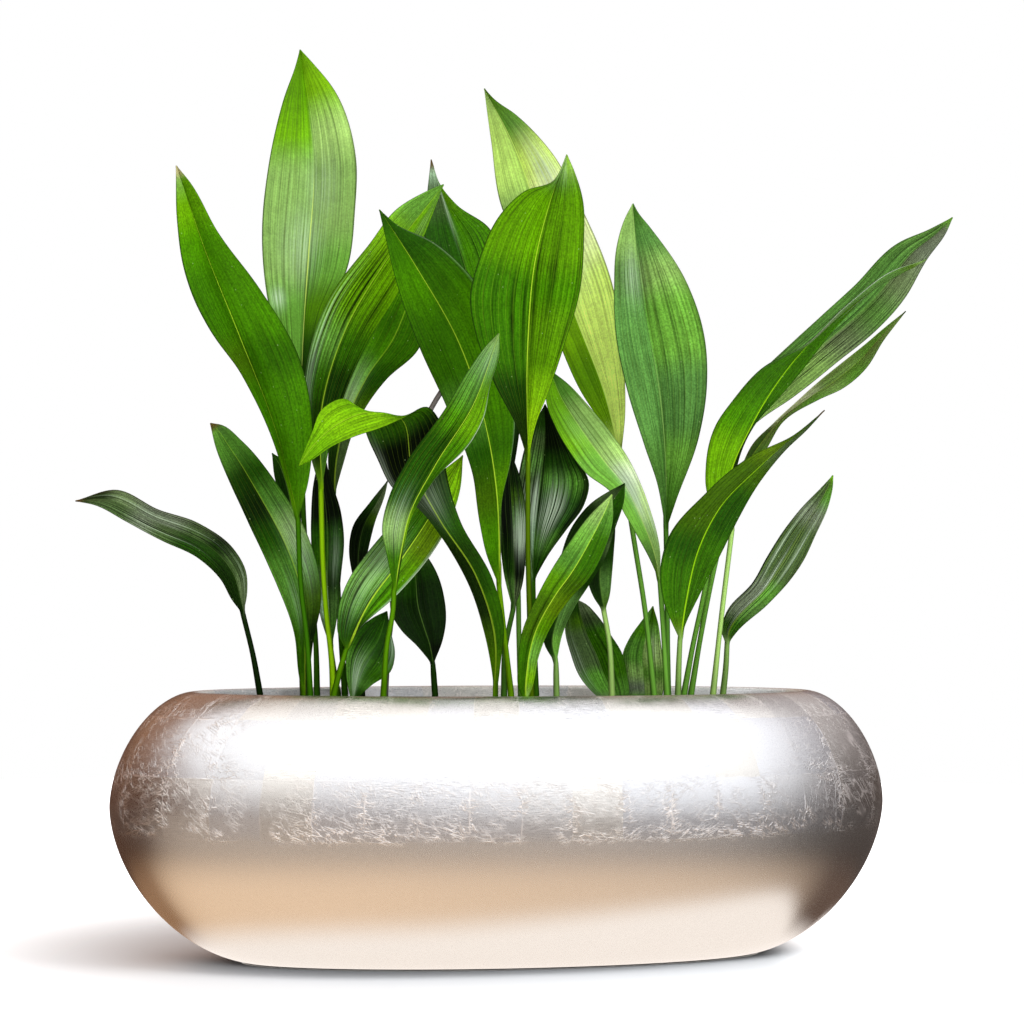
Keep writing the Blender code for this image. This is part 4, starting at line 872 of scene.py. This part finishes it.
# Each leaf from its base to its tip, left and right of the midrib as the photograph shows it, with painted
# light and shade: its shades are lighter where it lies lit and darker where it lies in shade, which partly
# sets the two halves apart. A patch of painted sheen is its place along, its place across, its length,
# its width and its strength, all as shares.
leafLooks = {
    "leaf_01": dict(
        stalk="ink", left="ink ink ink bottle bottle slate pewter slate slate ink",
        right="ash ash slate ink slate pewter pewter ash ink ink", tip="bark", rib=0.2, veins=2.4,
        paintedSheen=[(0.62, 0.35, 0.3, 0.04, 0.25), (0.60, -0.6, 0.2, 0.05, 0.2), (0.16, 0.6, 0.1, 0.1, 0.4)]),
    "leaf_02": dict(
        stalk="moss", left="leaf forest forest fern fern pine ink bottle fern jade",
        right="black black ink moss fern sage fern pine fern mist", tip="bark", rib=0.5,
        paintedSheen=[(0.50, 0.5, 0.12, 0.5, 0.5), (0.34, -0.4, 0.10, 0.3, 0.2)]),
    "leaf_03": dict(stalk="moss", left="ink ink bottle bottle pine", right="ink ink ink bottle pine"),
    "leaf_04": dict(
        stalk="forest", left="leaf grass forest forest moss forest forest emerald leaf sage",
        right="grass emerald emerald emerald forest emerald emerald emerald grass leaf", tip="straw",
        rib=1.7, veins=0.55),
    "leaf_05": dict(
        stalk="forest", left="mist mist jade jade sage sage sage leaf grass grass",
        right="ink ink pine grass jade sage sage pale spring leaf", rib=1.2, ribEnd=0.6, veins=0.75,
        paintedSheen=[(0.50, -0.1, 0.10, 0.5, 0.5), (0.64, 0.2, 0.10, 0.4, 0.4), (0.36, -0.75, 0.03, 0.2, 0.8)]),
    "leaf_06": dict(
        stalk="lime", left="leaf ink bottle forest jade leaf leaf spring jade jade",
        right="leaf fern bottle bottle forest grass leaf leaf leaf jade", veins=1.5, rib=0.8,
        paintedSheen=[(0.40, -0.85, 0.25, 0.2, 0.4), (0.86, 0.6, 0.08, 0.3, 0.15)]),
    "leaf_07": dict(
        stalk="forest", left="ink ink bottle sage jade emerald forest emerald emerald emerald",
        right="slate slate slate moss pine forest forest emerald emerald emerald", veins=1.0, rib=0.4,
        paintedSheen=[(0.38, -0.5, 0.10, 0.5, 0.4)]),
    "leaf_08": dict(
        stalk="moss", left="pine ash silver ash forest pine black black black ink",
        right="pine fern mist bottle pine pine black black black ink", rib=0.3, veins=1.4,
        paintedSheen=[(0.45, 0.5, 0.12, 0.3, 0.4)]),
    "leaf_09": dict(
        stalk="grass", left="pine pine fern jade mist forest forest leaf spring spring",
        right="pine bottle emerald emerald grass olive olive spring spring spring", rib=1.1, veins=1.5,
        paintedSheen=[(0.36, -0.5, 0.2, 0.5, 0.3), (0.4, 0.97, 0.3, 0.08, 0.8)]),
    "leaf_10": dict(
        stalk="pine", left="mist mist fern fern fern forest pine pine pine bottle",
        right="pine pine fern forest forest pine pine pine pine pine", rib=0.3, veins=1.2,
        paintedSheen=[(0.22, -0.25, 0.25, 0.35, 1.0), (0.7, 0.85, 0.2, 0.2, 0.4)]),
    "leaf_11": dict(stalk="ink", left="black black black black black black ink pine slate slate",
                    right="black black black black ink ink moss ash ash ash", rib=0.2),
    "leaf_12": dict(
        stalk="grass", left="forest forest sage pine pine pine emerald fern fern sage",
        right="pine pine spring forest forest emerald leaf grass emerald sage", rib=0.9, veins=1.5,
        paintedSheen=[(0.26, -0.5, 0.10, 0.4, 0.3), (0.90, 0.0, 0.08, 1.0, 0.3), (0.6, 0.97, 0.3, 0.06, 1.2)]),
    "leaf_13": dict(stalk="stone", left="bottle pine pine", right="bottle pine pine"),
    "leaf_14": dict(stalk="bottle", left="ink ink ink ink ink bottle pine pine pine",
                    right="ink black ink ink ink ink bottle slate slate", rib=0.5, veins=0.8),
    "leaf_15": dict(
        stalk="grass", rib=0.5, veins=0.9,
        left="spring grass moss ink ink ink bottle ink black black forest leaf spring leaf leaf",
        right="grass grass forest forest pine bottle pine bottle ink black forest spring spring leaf leaf",
        paintedSheen=[(0.50, 0.0, 0.06, 0.7, 0.25), (0.58, -0.9, 0.10, 0.12, 0.35)]),
    "leaf_16": dict(stalk="fern", left="pine mist bottle ink black black black black black",
                    right="ash ash black black pewter mist moss ink black black", rib=0.2, veins=2.4,
                    paintedSheen=[(0.47, 0.6, 0.13, 0.45, 1.9)]),
    "leaf_17": dict(
        stalk="spring", left="forest emerald moss pine fern forest forest emerald forest pine",
        right="moss slate grass forest emerald emerald emerald forest pine pine", rib=0.9, veins=0.5,
        paintedSheen=[(0.45, 0.98, 0.25, 0.04, 0.3), (0.82, 0.98, 0.2, 0.04, 0.25)]),
    "leaf_18": dict(stalk="jade", left="ink ink pine pine pine pine pine pine slate silver",
                    right="ink ink bottle bottle pine forest emerald emerald grass fern", tip="bark",
                    rib=0.5, paintedSheen=[(0.86, 0.02, 0.10, 0.10, 0.8)]),
    "leaf_19": dict(
        stalk="leaf", left="forest forest forest moss moss grass fern jade sage pale",
        right="pale spring jade grass olive moss forest forest fern sage", rib=0.9, veins=1.1),
    "leaf_20": dict(
        stalk="olive", left="ink ink bottle forest forest forest grass grass grass pale",
        right="lime lime spring grass grass emerald grass grass grass lime", rib=1.5, veins=1.1,
        paintedSheen=[(0.96, 0.0, 0.06, 1.0, 0.5)]),
    "leaf_21": dict(
        stalk="forest", left="emerald mist silver silver pewter slate mist slate bottle ink",
        right="bottle pine fern pine pine fern bottle black black black", rib=0.2, veins=2.4,
        paintedSheen=[(0.26, -0.6, 0.2, 0.35, 1.8), (0.42, -0.15, 0.14, 0.2, 1.4), (0.38, 0.35, 0.14, 0.25, 1.3)]),
    "leaf_22": dict(stalk="sage", left="pine ink bottle bottle ink ink ink ink slate ink",
                    right="jade jade mist mist bottle bottle slate bottle pine pine", rib=0.3),
    "leaf_23": dict(stalk="pale", left="bottle ink ink ink ink", right="moss mist bottle ink ink", rib=0.3),
    "leaf_24": dict(
        stalk="fern", left="ash ash fern fern slate slate slate moss bottle bottle",
        right="mist mist fern forest forest forest forest slate ash ash", rib=0.4, veins=1.2,
        paintedSheen=[(0.42, -0.9, 0.3, 0.2, 0.3)]),
    "leaf_25": dict(
        stalk="fern", left="jade jade pewter sage fern fern emerald fern fern",
        right="jade jade pale jade pale pale jade emerald olive", rib=0.4, veins=1.2,
        paintedSheen=[(0.60, 0.55, 0.14, 0.3, 0.6)]),
    "leaf_26": dict(
        stalk="jade", left="citron spring leaf spring spring leaf sage pear pear pale",
        right="citron citron citron citron citron milk milk citron jade grass", rib=2.0, veins=0.6,
        ribShade="citron", paintedSheen=[(0.74, 0.6, 0.10, 0.35, 1.1), (0.52, 0.3, 0.10, 0.5, 0.6)]),
    "leaf_27": dict(
        stalk="jade", left="olive mist jade jade jade jade leaf grass grass emerald",
        right="sage sage sage pear frost pale sage sage fern pine", rib=0.3, veins=0.8,
        paintedSheen=[(0.38, 0.35, 0.13, 0.45, 1.7), (0.28, 0.85, 0.12, 0.15, 1.0), (0.70, -0.2, 0.10, 0.5, 0.15)]),
    "leaf_28": dict(
        stalk="fern", left="sea sea sea reed reed reed reed mist sage sage",
        right="pine fern jade reed reed jade jade sage reed fern", rib=0.9, ribEnd=0.5, veins=0.9,
        ribShade="pale", paintedSheen=[(0.78, -0.35, 0.09, 0.4, 0.45)]),
    "leaf_29": dict(
        stalk="sage", left="olive forest forest pine moss moss moss olive moss slate",
        right="moss forest forest forest pine pine moss slate slate bottle", rib=1.2, ribEnd=0.75, veins=0.9,
        ribShade="lime", tip="bark"),
    "leaf_30": dict(
        stalk="jade", left="fern fern sea sea sea sea sea sea mist mist",
        right="sage sage sage sage sage ash mist ash pewter pewter", rib=0.6, veins=1.5, tip="jade"),
    "leaf_31": dict(
        stalk="jade", left="leaf mist mist frost frost sage sage jade jade sage",
        right="grass jade sage sage jade sage jade sage sage sage", rib=0.5, veins=1.0, tip="moss",
        paintedSheen=[(0.4, -0.95, 0.2, 0.12, 0.9)]),
    "leaf_32": dict(
        stalk="pale", left="spring leaf leaf emerald forest forest ash mist mist olive",
        right="ink ink ink pine forest forest forest moss moss olive", rib=1.5, ribEnd=0.7, veins=0.9,
        ribShade="lime", tip="sage", paintedSheen=[(0.82, -0.97, 0.2, 0.05, 1.1), (0.86, 0.4, 0.12, 0.07, 1.0)]),
    "leaf_33": dict(
        stalk="sage", left="slate bottle pewter pewter slate slate slate pewter slate slate",
        right="bottle pine mist fern slate slate slate pewter fern moss", rib=0.2, veins=2.0, tip="leaf",
        paintedSheen=[(0.35, -0.2, 0.2, 0.10, 0.9), (0.60, 0.35, 0.2, 0.08, 0.9), (0.5, -0.7, 0.2, 0.08, 0.8)]),
}
# What sets the three kinds of leaf apart
leafFinishes = {
    "mid_leaf": {"roughness": 0.42, "ribShade": (168, 204, 48), "gloss": 0.025, "grain": 0.24},
    "light_leaf": {"roughness": 0.44, "ribShade": (206, 226, 110), "gloss": 0.04, "grain": 0.13},
    "dark_leaf": {"roughness": 0.36, "ribShade": (96, 134, 54), "gloss": 0.035, "grain": 0.26},
}
# What all leaves share. Four numbers in a row are a measure's start and end and what they are turned into
leafDetail = {
    # The pale shade of painted sheen, the shade of specks and the darker rim
    "paintedSheenShade": (190, 212, 182), "speckShade": (170, 200, 130), "rimShade": (16, 26, 4),
    # Streaks: how many across a half, how many to a millimetre along it, and their shift from leaf to leaf
    "veins": (30.0, 0.006, 7.3), "paintedFoldShade": (13.0, 0.004, 5.7), "bands": (5.0, 0.005, 3.1),
    "veinShades": (0.40, 0.60, -0.24, 0.24), "paintedFoldShadeRamp": (0.36, 0.50, -0.28, 0.06),
    "bandShades": (0.35, 0.65, -0.12, 0.12), "mottleShades": (0.35, 0.65, 0.91, 1.09),
    "fading": (0.38, 0.60, 0.75, 1.15), "stalkPaintedShade": (0.25, 1.0, 1.08, 0.5), "paintedPleatShade": 0.06,
    "darkest": 0.12, "grainNoise": (0.32, 0.68), "grainSize": 0.0021, "mottlesPerMetre": 70.0,
    "fadesPerMetre": 22.0, "bladeStart": (0.0, 0.08), "mainVein": (-0.94, -1.0), "mainVeinShare": 0.08,
    "paintedSheenBreaks": 3.0, "sheenGloss": 0.30, "paintedSheenFade": 1.4, "ribWidths": (1.4, 0.25),
    "ribEdge": (0.45, 1.15, 1.0, 0.0), "ribShare": 0.85, "ribFadeReach": 0.15, "rimStart": (0.965, 0.995),
    "rimShare": 0.75, "specksPerMillimetre": (0.15, 0.12), "speckEdge": (0.05, 0.10, 1.0, 0.0),
    "speckChance": 0.28, "speckShare": 0.4, "roughnessNoise": (0.3, 0.7), "roughnessChanges": (-0.05, 0.06),
    "sheenSmoothness": -0.08, "grainHeight": 0.25, "bump": 0.0004,
    # Where the colours of the two halves, of stalk and blade, and of blade and dry tip run into each other
    "sideBlend": (-0.05, 0.05), "stalkBlend": (-0.02, 0.06), "tipBlend": (0.955, 0.985),
}
usualLook = {"rib": 0.8, "ribEnd": 1.3, "veins": 1.0, "paintedSheen": ()}


def streaksOf(across, along, seed, perHalf, perMillimetre, shift):
    # A noise drawn out along the blade, another on each leaf
    inputs = {0: across * perHalf + seed * shift, 1: along * perMillimetre, 2: seed}
    return noiseOf(addNode(treeOf(seed), "CombineXYZ", inputs), 1.0, 1.0, 0.55)


def leafFinish(slotName):
    look, detail = leafFinishes[slotName], leafDetail
    material, tree, shader = startMaterial(slotName)
    tint, ribTint = attributeOf(tree, "leafTint", "Color"), attributeOf(tree, "ribTint", "Color")
    across, share, seed = partsOf(attributeOf(tree, "leafPlace"))
    reach, along, pleat = partsOf(attributeOf(tree, "leafMeasure"))
    paintedSheen, ribStrength, veins = partsOf(attributeOf(tree, "leafExtra"))
    place, outward = placeOn(tree), abs(across)
    blade = ramp(share, *detail["bladeStart"])
    # Veins: fine lines along the blade, darker streaks among them that are painted shade of folds, and broad
    # bands under them, with painted shade over the pleats, lighter on their ridges and darker in their
    # hollows. They fade here and there, and a grain lies over all
    fine, paintedFoldShade, broad = [streaksOf(across, along, seed, *detail[kind])
                          for kind in ("veins", "paintedFoldShade", "bands")]
    mottle = noiseOf(place, detail["mottlesPerMetre"], 3.0, 0.6)
    grain = noiseOf(place, 1.0 / detail["grainSize"], 1.0, 0.7)
    ridge = calc("COSINE", pleat * fullTurn)
    lines = ramp(fine, *detail["veinShades"]) + ramp(paintedFoldShade, *detail["paintedFoldShadeRamp"])
    lines = lines + ramp(broad, *detail["bandShades"], smooth=False) + ridge * detail["paintedPleatShade"]
    fading = ramp(noiseOf(place, detail["fadesPerMetre"], 2.0, 0.6), *detail["fading"])
    grained = ramp(grain, *detail["grainNoise"], 1.0 - look["grain"], 1.0 + look["grain"], smooth=False)
    surface = ramp(mottle, *detail["mottleShades"], smooth=False) * grained
    strength = calc("MAXIMUM", (lines * fading * veins + 1.0) * surface, detail["darkest"])
    # The stalk has no veins, and painted shade darkens it towards its sides, as on a lit round rod
    strength = addNode(tree, "Mix", {0: blade, 2: ramp(outward, *detail["stalkPaintedShade"]), 3: strength})
    colour = shadeBy(tint, strength)
    # A few pale main veins, and painted sheen, split up by the fine veins, as a pale shade mixed into the
    # colour
    main = ramp(ridge, *detail["mainVein"]) * (veins * detail["mainVeinShare"])
    colour = mixColour(main * blade, colour, asColour(look["ribShade"]))
    brokenPaintedSheen = calc("MULTIPLY", (fine - 0.5) * (veins * detail["paintedSheenBreaks"]) + 0.5, paintedSheen, clamp=True)
    colour = mixColour(brokenPaintedSheen, colour, asColour(detail["paintedSheenShade"]))
    # The midrib, a narrow pale line that tapers to the tip
    ribWidth = ramp(share, 0.0, 1.0, *detail["ribWidths"], smooth=False)
    ribLine = ramp(abs(reach) / ribWidth, *detail["ribEdge"]) * ribStrength
    ribLine = calc("MULTIPLY", ribLine, blade, clamp=True)
    colour = mixColour(ribLine * detail["ribShare"], colour, ribTint)
    # A darker rim, and small pale specks
    rim = ramp(outward, *detail["rimStart"]) * blade
    colour = mixColour(rim * detail["rimShare"], colour, asColour(detail["rimShade"]))
    perAcross, perAlong = detail["specksPerMillimetre"]
    vector = addNode(tree, "CombineXYZ", {0: reach * perAcross, 1: along * perAlong, 2: seed})
    distance, chance = addNode(tree, "TexVoronoi", {"Vector": vector, "Scale": 1.0}, None)[:2]
    few = calc("LESS_THAN", partsOf(chance, "Color")[0], detail["speckChance"])
    specks = ramp(distance, *detail["speckEdge"]) * few * blade * detail["speckShare"]
    smoothest, roughest = [look["roughness"] + change for change in detail["roughnessChanges"]]
    dress(shader, {
        "Base Color": mixColour(specks, colour, asColour(detail["speckShade"])),
        "Roughness": (ramp(mottle, *detail["roughnessNoise"], smoothest, roughest, smooth=False)
                      + brokenPaintedSheen * detail["sheenSmoothness"]),
        "Specular IOR Level": brokenPaintedSheen * detail["sheenGloss"] + look["gloss"],
        "Normal": bumpOf((grain * detail["grainHeight"] + fine) * blade, detail["bump"]),
    })
    return material


def smoothStep(value, low, high):
    t = np.clip((value - low) / (high - low), 0, 1)
    return t * t * (3 - 2 * t)


def blend(first, second, share):
    return first * (1 - share[..., None]) + second * share[..., None]


def paintLeaf(look, across, share):
    # The colour at each point, from the look's shades: the leaf's own colour with painted light, shade and
    # sheen in it
    sides = []
    for side in ("left", "right"):
        names = look[side].split()
        stops = np.array([linear(shades[name]) for name in names])
        where = np.clip(share, 0, 1) * (len(names) - 1)
        first = np.clip(where.astype(int), 0, len(names) - 2)
        sides.append(blend(stops[first], stops[first + 1], smoothStep(where - first, 0.0, 1.0)))
    colour = blend(*sides, smoothStep(across, *leafDetail["sideBlend"]))
    colour = blend(linear(shades[look["stalk"]]), colour, smoothStep(share, *leafDetail["stalkBlend"]))
    if "tip" in look:
        colour = blend(colour, linear(shades[look["tip"]]), smoothStep(share, *leafDetail["tipBlend"]))
    return colour


def paintedSheenOf(look, across, share):
    # Painted sheen: how much of the pale shade each point gets, patch by patch
    amount = np.zeros(across.shape)
    for patchAlong, patchAcross, length, width, strength in look["paintedSheen"]:
        spread = ((share - patchAlong) / length) ** 2 + ((across - patchAcross) / width) ** 2
        amount = np.maximum(amount, strength * np.exp(-spread * leafDetail["paintedSheenFade"]))
    return amount


finishes = {slotName: leafFinish(slotName) for slotName in leafFinishes}
slotOf = {part["node"]: part["material_slot"] for part in frame["record"]["subparts"]}


def makeLeaf(name, number):
    rings, measures = leafShape(leafReadings[name], number)
    look, slotName = {**usualLook, **leafLooks[name]}, slotOf[name]
    piece = makePiece("castIronLeaf" + name[-2:], rings, finishes[slotName], [name])
    across, share = measures["across"], measures["share"]
    full, fade = np.ones(across.shape), leafDetail["ribFadeReach"]
    ribShade = shades[look["ribShade"]] if "ribShade" in look else leafFinishes[slotName]["ribShade"]
    ribTint = np.broadcast_to(linear(ribShade), (*across.shape, 3))
    rib = look["rib"] * (1 - smoothStep(share, look["ribEnd"] - fade, look["ribEnd"] + fade))
    for attribute, values in {
        "leafPlace": (across, share, full * number),
        "leafMeasure": (measures["reach"] * np.sign(across), measures["along"], measures["pleat"]),
        "leafExtra": (paintedSheenOf(look, across, share), rib, full * look["veins"]),
    }.items():
        setAttribute(piece, attribute, "FLOAT_VECTOR", "POINT", np.stack(values, axis=-1))
    for attribute, colours in {"leafTint": paintLeaf(look, across, share), "ribTint": ribTint}.items():
        colours = np.concatenate([colours, full[..., None]], axis=-1)
        setAttribute(piece, attribute, "FLOAT_COLOR", "POINT", colours)


for number, name in enumerate(leafReadings):
    makeLeaf(name, number)
print("leaves made:", len(leafReadings))


# A plain white floor, and the soft light of a studio. Glows in pairs are those at the left and at the right
studio = {
    "floorReach": 2.4, "floorPoints": 96, "floorShade": (230, 233, 235), "floorRoughness": 0.9,
    "floorGloss": 0.1, "floorPaintedLight": (0.34, 0.80, 0.0, 1.0), "sidePaintedLight": (0.27, 0.34, 0.0, 0.6),
    "keyPlace": (2.0, -0.95, 2.3), "keySize": 1.5, "keyAim": (0.0, 0.0, 0.3), "keyPower": 51.0,
    "flagGap": 0.0015, "flagFoot": 0.026, "flagRise": 0.026,
    # How far the skirt reaches at its left, in its middle and at its right
    "flagTurns": (-0.9, 0.0, 0.9), "flagReach": (0.018, 0.040, 0.002),
    "cardReach": 2.4, "cardHeight": 0.0012, "cardPoints": 96, "cardRings": 28, "cardCrowding": 2.5,
    "foot": (1.25, 1.15, 1.10), "table": ((0.37, 0.205, 0.11), (0.11, 0.06, 0.038)),
    "tableLit": ((1.02, 0.73, 0.50), (0.74, 0.55, 0.40)), "top": (1.2, 1.2, 1.15),
    "far": ((0.055, 0.022, 0.011), (0.028, 0.017, 0.012)),
    "farLit": ((0.42, 0.33, 0.27), (0.26, 0.215, 0.20)),
    "low": ((0.105, 0.038, 0.018), (0.075, 0.05, 0.038)), "high": ((0.46, 0.24, 0.145), (0.70, 0.64, 0.66)),
    "dome": ((1.84, 1.85, 1.88), (2.02, 2.05, 2.13)),
    # On the card, metres from the planter's foot, or how much to the right or in front of it
    "cardRightward": (-0.5, 0.5), "frontDrop": (0.2, 0.9, 0.0, 0.2), "tableDimming": (-0.1, 0.6),
    "tableFront": (0.20, 0.95), "farDimming": (-0.1, 0.5), "farFront": (0.60, 1.0),
    "footWidens": (0.05, 0.70, 0.0, 0.09), "footNarrows": (0.60, 0.86, 1.0, 0.0), "footEdge": (0.045, 0.115),
    "tableEdge": (0.17, 0.38),
    # In the room, how much to the right, degrees above the floor or degrees round from its front's middle
    "roomRightward": (-0.3, 0.6), "highStart": (0.0, 36.0), "topStart": (60.0, 84.0), "domeMiddle": 3.0,
    "domeWidens": (0.0, 50.0, 0.0, 16.0), "domeSides": (42.0, 82.0, 1.0, 0.0),
    "rightDrop": (0.0, 24.0, 0.0, 9.0), "rightDropEnd": (55.0, 75.0, 1.0, 0.0),
    "leftRise": (-64.0, -28.0, -24.0, 0.0), "domeFoot": (-4.0, 18.0), "domeTop": (42.0, 80.0, 1.0, 0.3),
}
black, white = (0.0, 0.0, 0.0, 1.0), (1.0, 1.0, 1.0, 1.0)


def studioRamp(value, name):
    return ramp(value, *studio[name])


def glow(share, name):
    left, right = studio[name]
    return mixColour(share, (*left, 1.0), (*right, 1.0))


def towards(vector, axis):
    # How far a vector reaches along one of the camera's level axes
    return vectorCalc("DOT_PRODUCT", vector, tuple(turned(*axis)), output="Value")


def makeFloor():
    material, tree, shader = startMaterial("studioFloor")
    # Painted light: the floor glows white further off, so that the shadow fades out, and beside the planter's
    # right end, where it takes the shadow away
    place = placeOn(tree)
    away = studioRamp(vectorCalc("LENGTH", place, output="Value"), "floorPaintedLight")
    beside = studioRamp(towards(place, (1.0, 0.0, 0.0)), "sidePaintedLight")
    dress(shader, {
        "Base Color": asColour(studio["floorShade"]), "Roughness": studio["floorRoughness"],
        "Specular IOR Level": studio["floorGloss"], "Emission Color": white,
        "Emission Strength": calc("MAXIMUM", away, beside),
    })
    turns = turnsOf(studio["floorPoints"])
    points = studio["floorReach"] * np.column_stack([np.cos(turns), np.sin(turns), np.zeros(len(turns))])
    makeObject("studioFloor", points, [list(range(len(points)))], material)


def makeCard():
    # A warm reflector lying round the planter's foot. Only the silver shows it: the camera doesn't
    drawnIn = bowl["baseDrawIn"]
    half = bowl["halfLength"] - drawnIn, bowl["halfDepth"] - bowl["depthShare"] * drawnIn
    turns = turnsOf(studio["cardPoints"])
    reaches = studio["cardReach"] * np.linspace(0, 1, studio["cardRings"]) ** studio["cardCrowding"]
    rings = np.array([np.column_stack([(half[0] + reach) * np.cos(turns), (half[1] + reach) * np.sin(turns),
                                       np.full(len(turns), studio["cardHeight"])]) for reach in reaches])
    material, tree, shader = startMaterial("warmReflector")
    faces = ringFaces(len(rings), len(turns)).tolist()
    card = makeObject("warmReflector", rings.reshape(-1, 3), faces, material)
    # How far a point lies from the planter's foot, how much in front of it and how far to its right
    facing = unit(np.column_stack([np.cos(turns) / half[0], np.sin(turns) / half[1], np.zeros(len(turns))]))
    front, right = facing @ turned(0.0, -1.0, 0.0), facing @ turned(1.0, 0.0, 0.0)
    where = np.stack(np.broadcast_arrays(reaches[:, None], front[None], right[None]), axis=-1)
    setAttribute(card, "where", "FLOAT_VECTOR", "POINT", where)
    reach, front, right = partsOf(attributeOf(tree, "where"))
    rightward, front = studioRamp(right, "cardRightward"), front - studioRamp(right, "frontDrop")
    tableLit, farLit = [glow(studioRamp(right, name + "Dimming"), name + "Lit") for name in ("table", "far")]
    table = mixColour(studioRamp(front, "tableFront"), glow(rightward, "table"), tableLit)
    far = mixColour(studioRamp(front, "farFront"), glow(rightward, "far"), farLit)
    footReach = studioRamp(right, "footWidens") * studioRamp(right, "footNarrows")
    tone = mixColour(studioRamp(reach - footReach, "footEdge"), (*studio["foot"], 1.0), table)
    dress(shader, {"Base Color": black, "Emission Strength": 1.0,
                   "Emission Color": mixColour(studioRamp(reach, "tableEdge"), tone, far)})
    card.visible_camera = card.visible_diffuse = card.visible_shadow = card.visible_transmission = False


def makeFlag():
    # A black skirt close round the foot deepens the shadow under the bowl. Camera and reflections miss it
    rings = bowlRings(-studio["flagGap"])
    rings = rings[:int(np.searchsorted(rings[:, 0, 2], studio["flagFoot"]))]
    top = rings[-1]
    outward = top / (bowl["halfLength"] ** 2, bowl["halfDepth"] ** 2, 1.0)
    outward[:, 2] = 0
    outward = unit(outward)
    width = np.interp(outward @ turned(1.0, 0.0, 0.0), studio["flagTurns"], studio["flagReach"])
    brim = top + outward * width[:, None] + (0, 0, studio["flagRise"])
    rings = np.concatenate([rings, brim[None]])
    material, tree, shader = startMaterial("footFlag")
    dress(shader, {"Base Color": black, "Specular IOR Level": 0.0})
    flag = makeObject("footFlag", rings.reshape(-1, 3), ringFaces(*rings.shape[:2]).tolist(), material)
    flag.visible_camera = flag.visible_glossy = False


def makeKeyLight():
    lamp = bpy.data.lights.new("keyLight", "AREA")
    lamp.shape = "SQUARE"
    lamp.size = studio["keySize"]
    lamp.energy = studio["keyPower"]
    key = bpy.data.objects.new("keyLight", lamp)
    place, aim = turned(*studio["keyPlace"]), turned(*studio["keyAim"])
    back = unit(place - aim)
    right = unit(np.cross((0, 0, 1), back))
    placeBy(key, right, np.cross(back, right), back, place)
    key.visible_camera = key.visible_glossy = False


def makeRoom():
    # White behind the plant. What lights it is a pale dome in front, and a dim warm room round the rest
    world = bpy.data.worlds.new("studioRoom")
    world.use_nodes = True
    tree = world.node_tree
    tree.nodes.clear()
    direction = addNode(tree, "TexCoord", (), "Generated")
    front, right = towards(direction, (0, -1, 0)), towards(direction, (1, 0, 0))
    bearing = calc("ARCTAN2", right, front) * math.degrees(1)
    raised = calc("ARCSINE", partsOf(direction)[2]) * math.degrees(1)
    rightward = studioRamp(right, "roomRightward")
    room = mixColour(studioRamp(raised, "highStart"), glow(rightward, "low"), glow(rightward, "high"))
    room = mixColour(studioRamp(raised, "topStart"), room, (*studio["top"], 1.0))
    # The dome reaches further round, the higher it is. Its foot is lower a little right of the middle and
    # higher at the left
    dome = studioRamp(abs(bearing - studio["domeMiddle"]) - studioRamp(raised, "domeWidens"), "domeSides")
    lift = studioRamp(bearing, "rightDrop") * studioRamp(bearing, "rightDropEnd")
    dome = dome * studioRamp(raised + (lift + studioRamp(bearing, "leftRise")), "domeFoot")
    dome = dome * studioRamp(raised, "domeTop")
    room = mixColour(dome, room, glow(rightward, "dome"))
    light = addNode(tree, "Background", {"Color": room, "Strength": 1.0})
    backdrop = addNode(tree, "Background", {"Color": white, "Strength": 1.0})
    seen = addNode(tree, "LightPath", (), "Is Camera Ray")
    both = addNode(tree, "MixShader", {0: seen, 1: light, 2: backdrop})
    addNode(tree, "OutputWorld", {"Surface": both}, None)
    bpy.context.scene.world = world


for make in (makeFloor, makeCard, makeFlag, makeKeyLight, makeRoom):
    make()
bpy.context.scene.view_settings.view_transform = "Standard"
print("studio made")
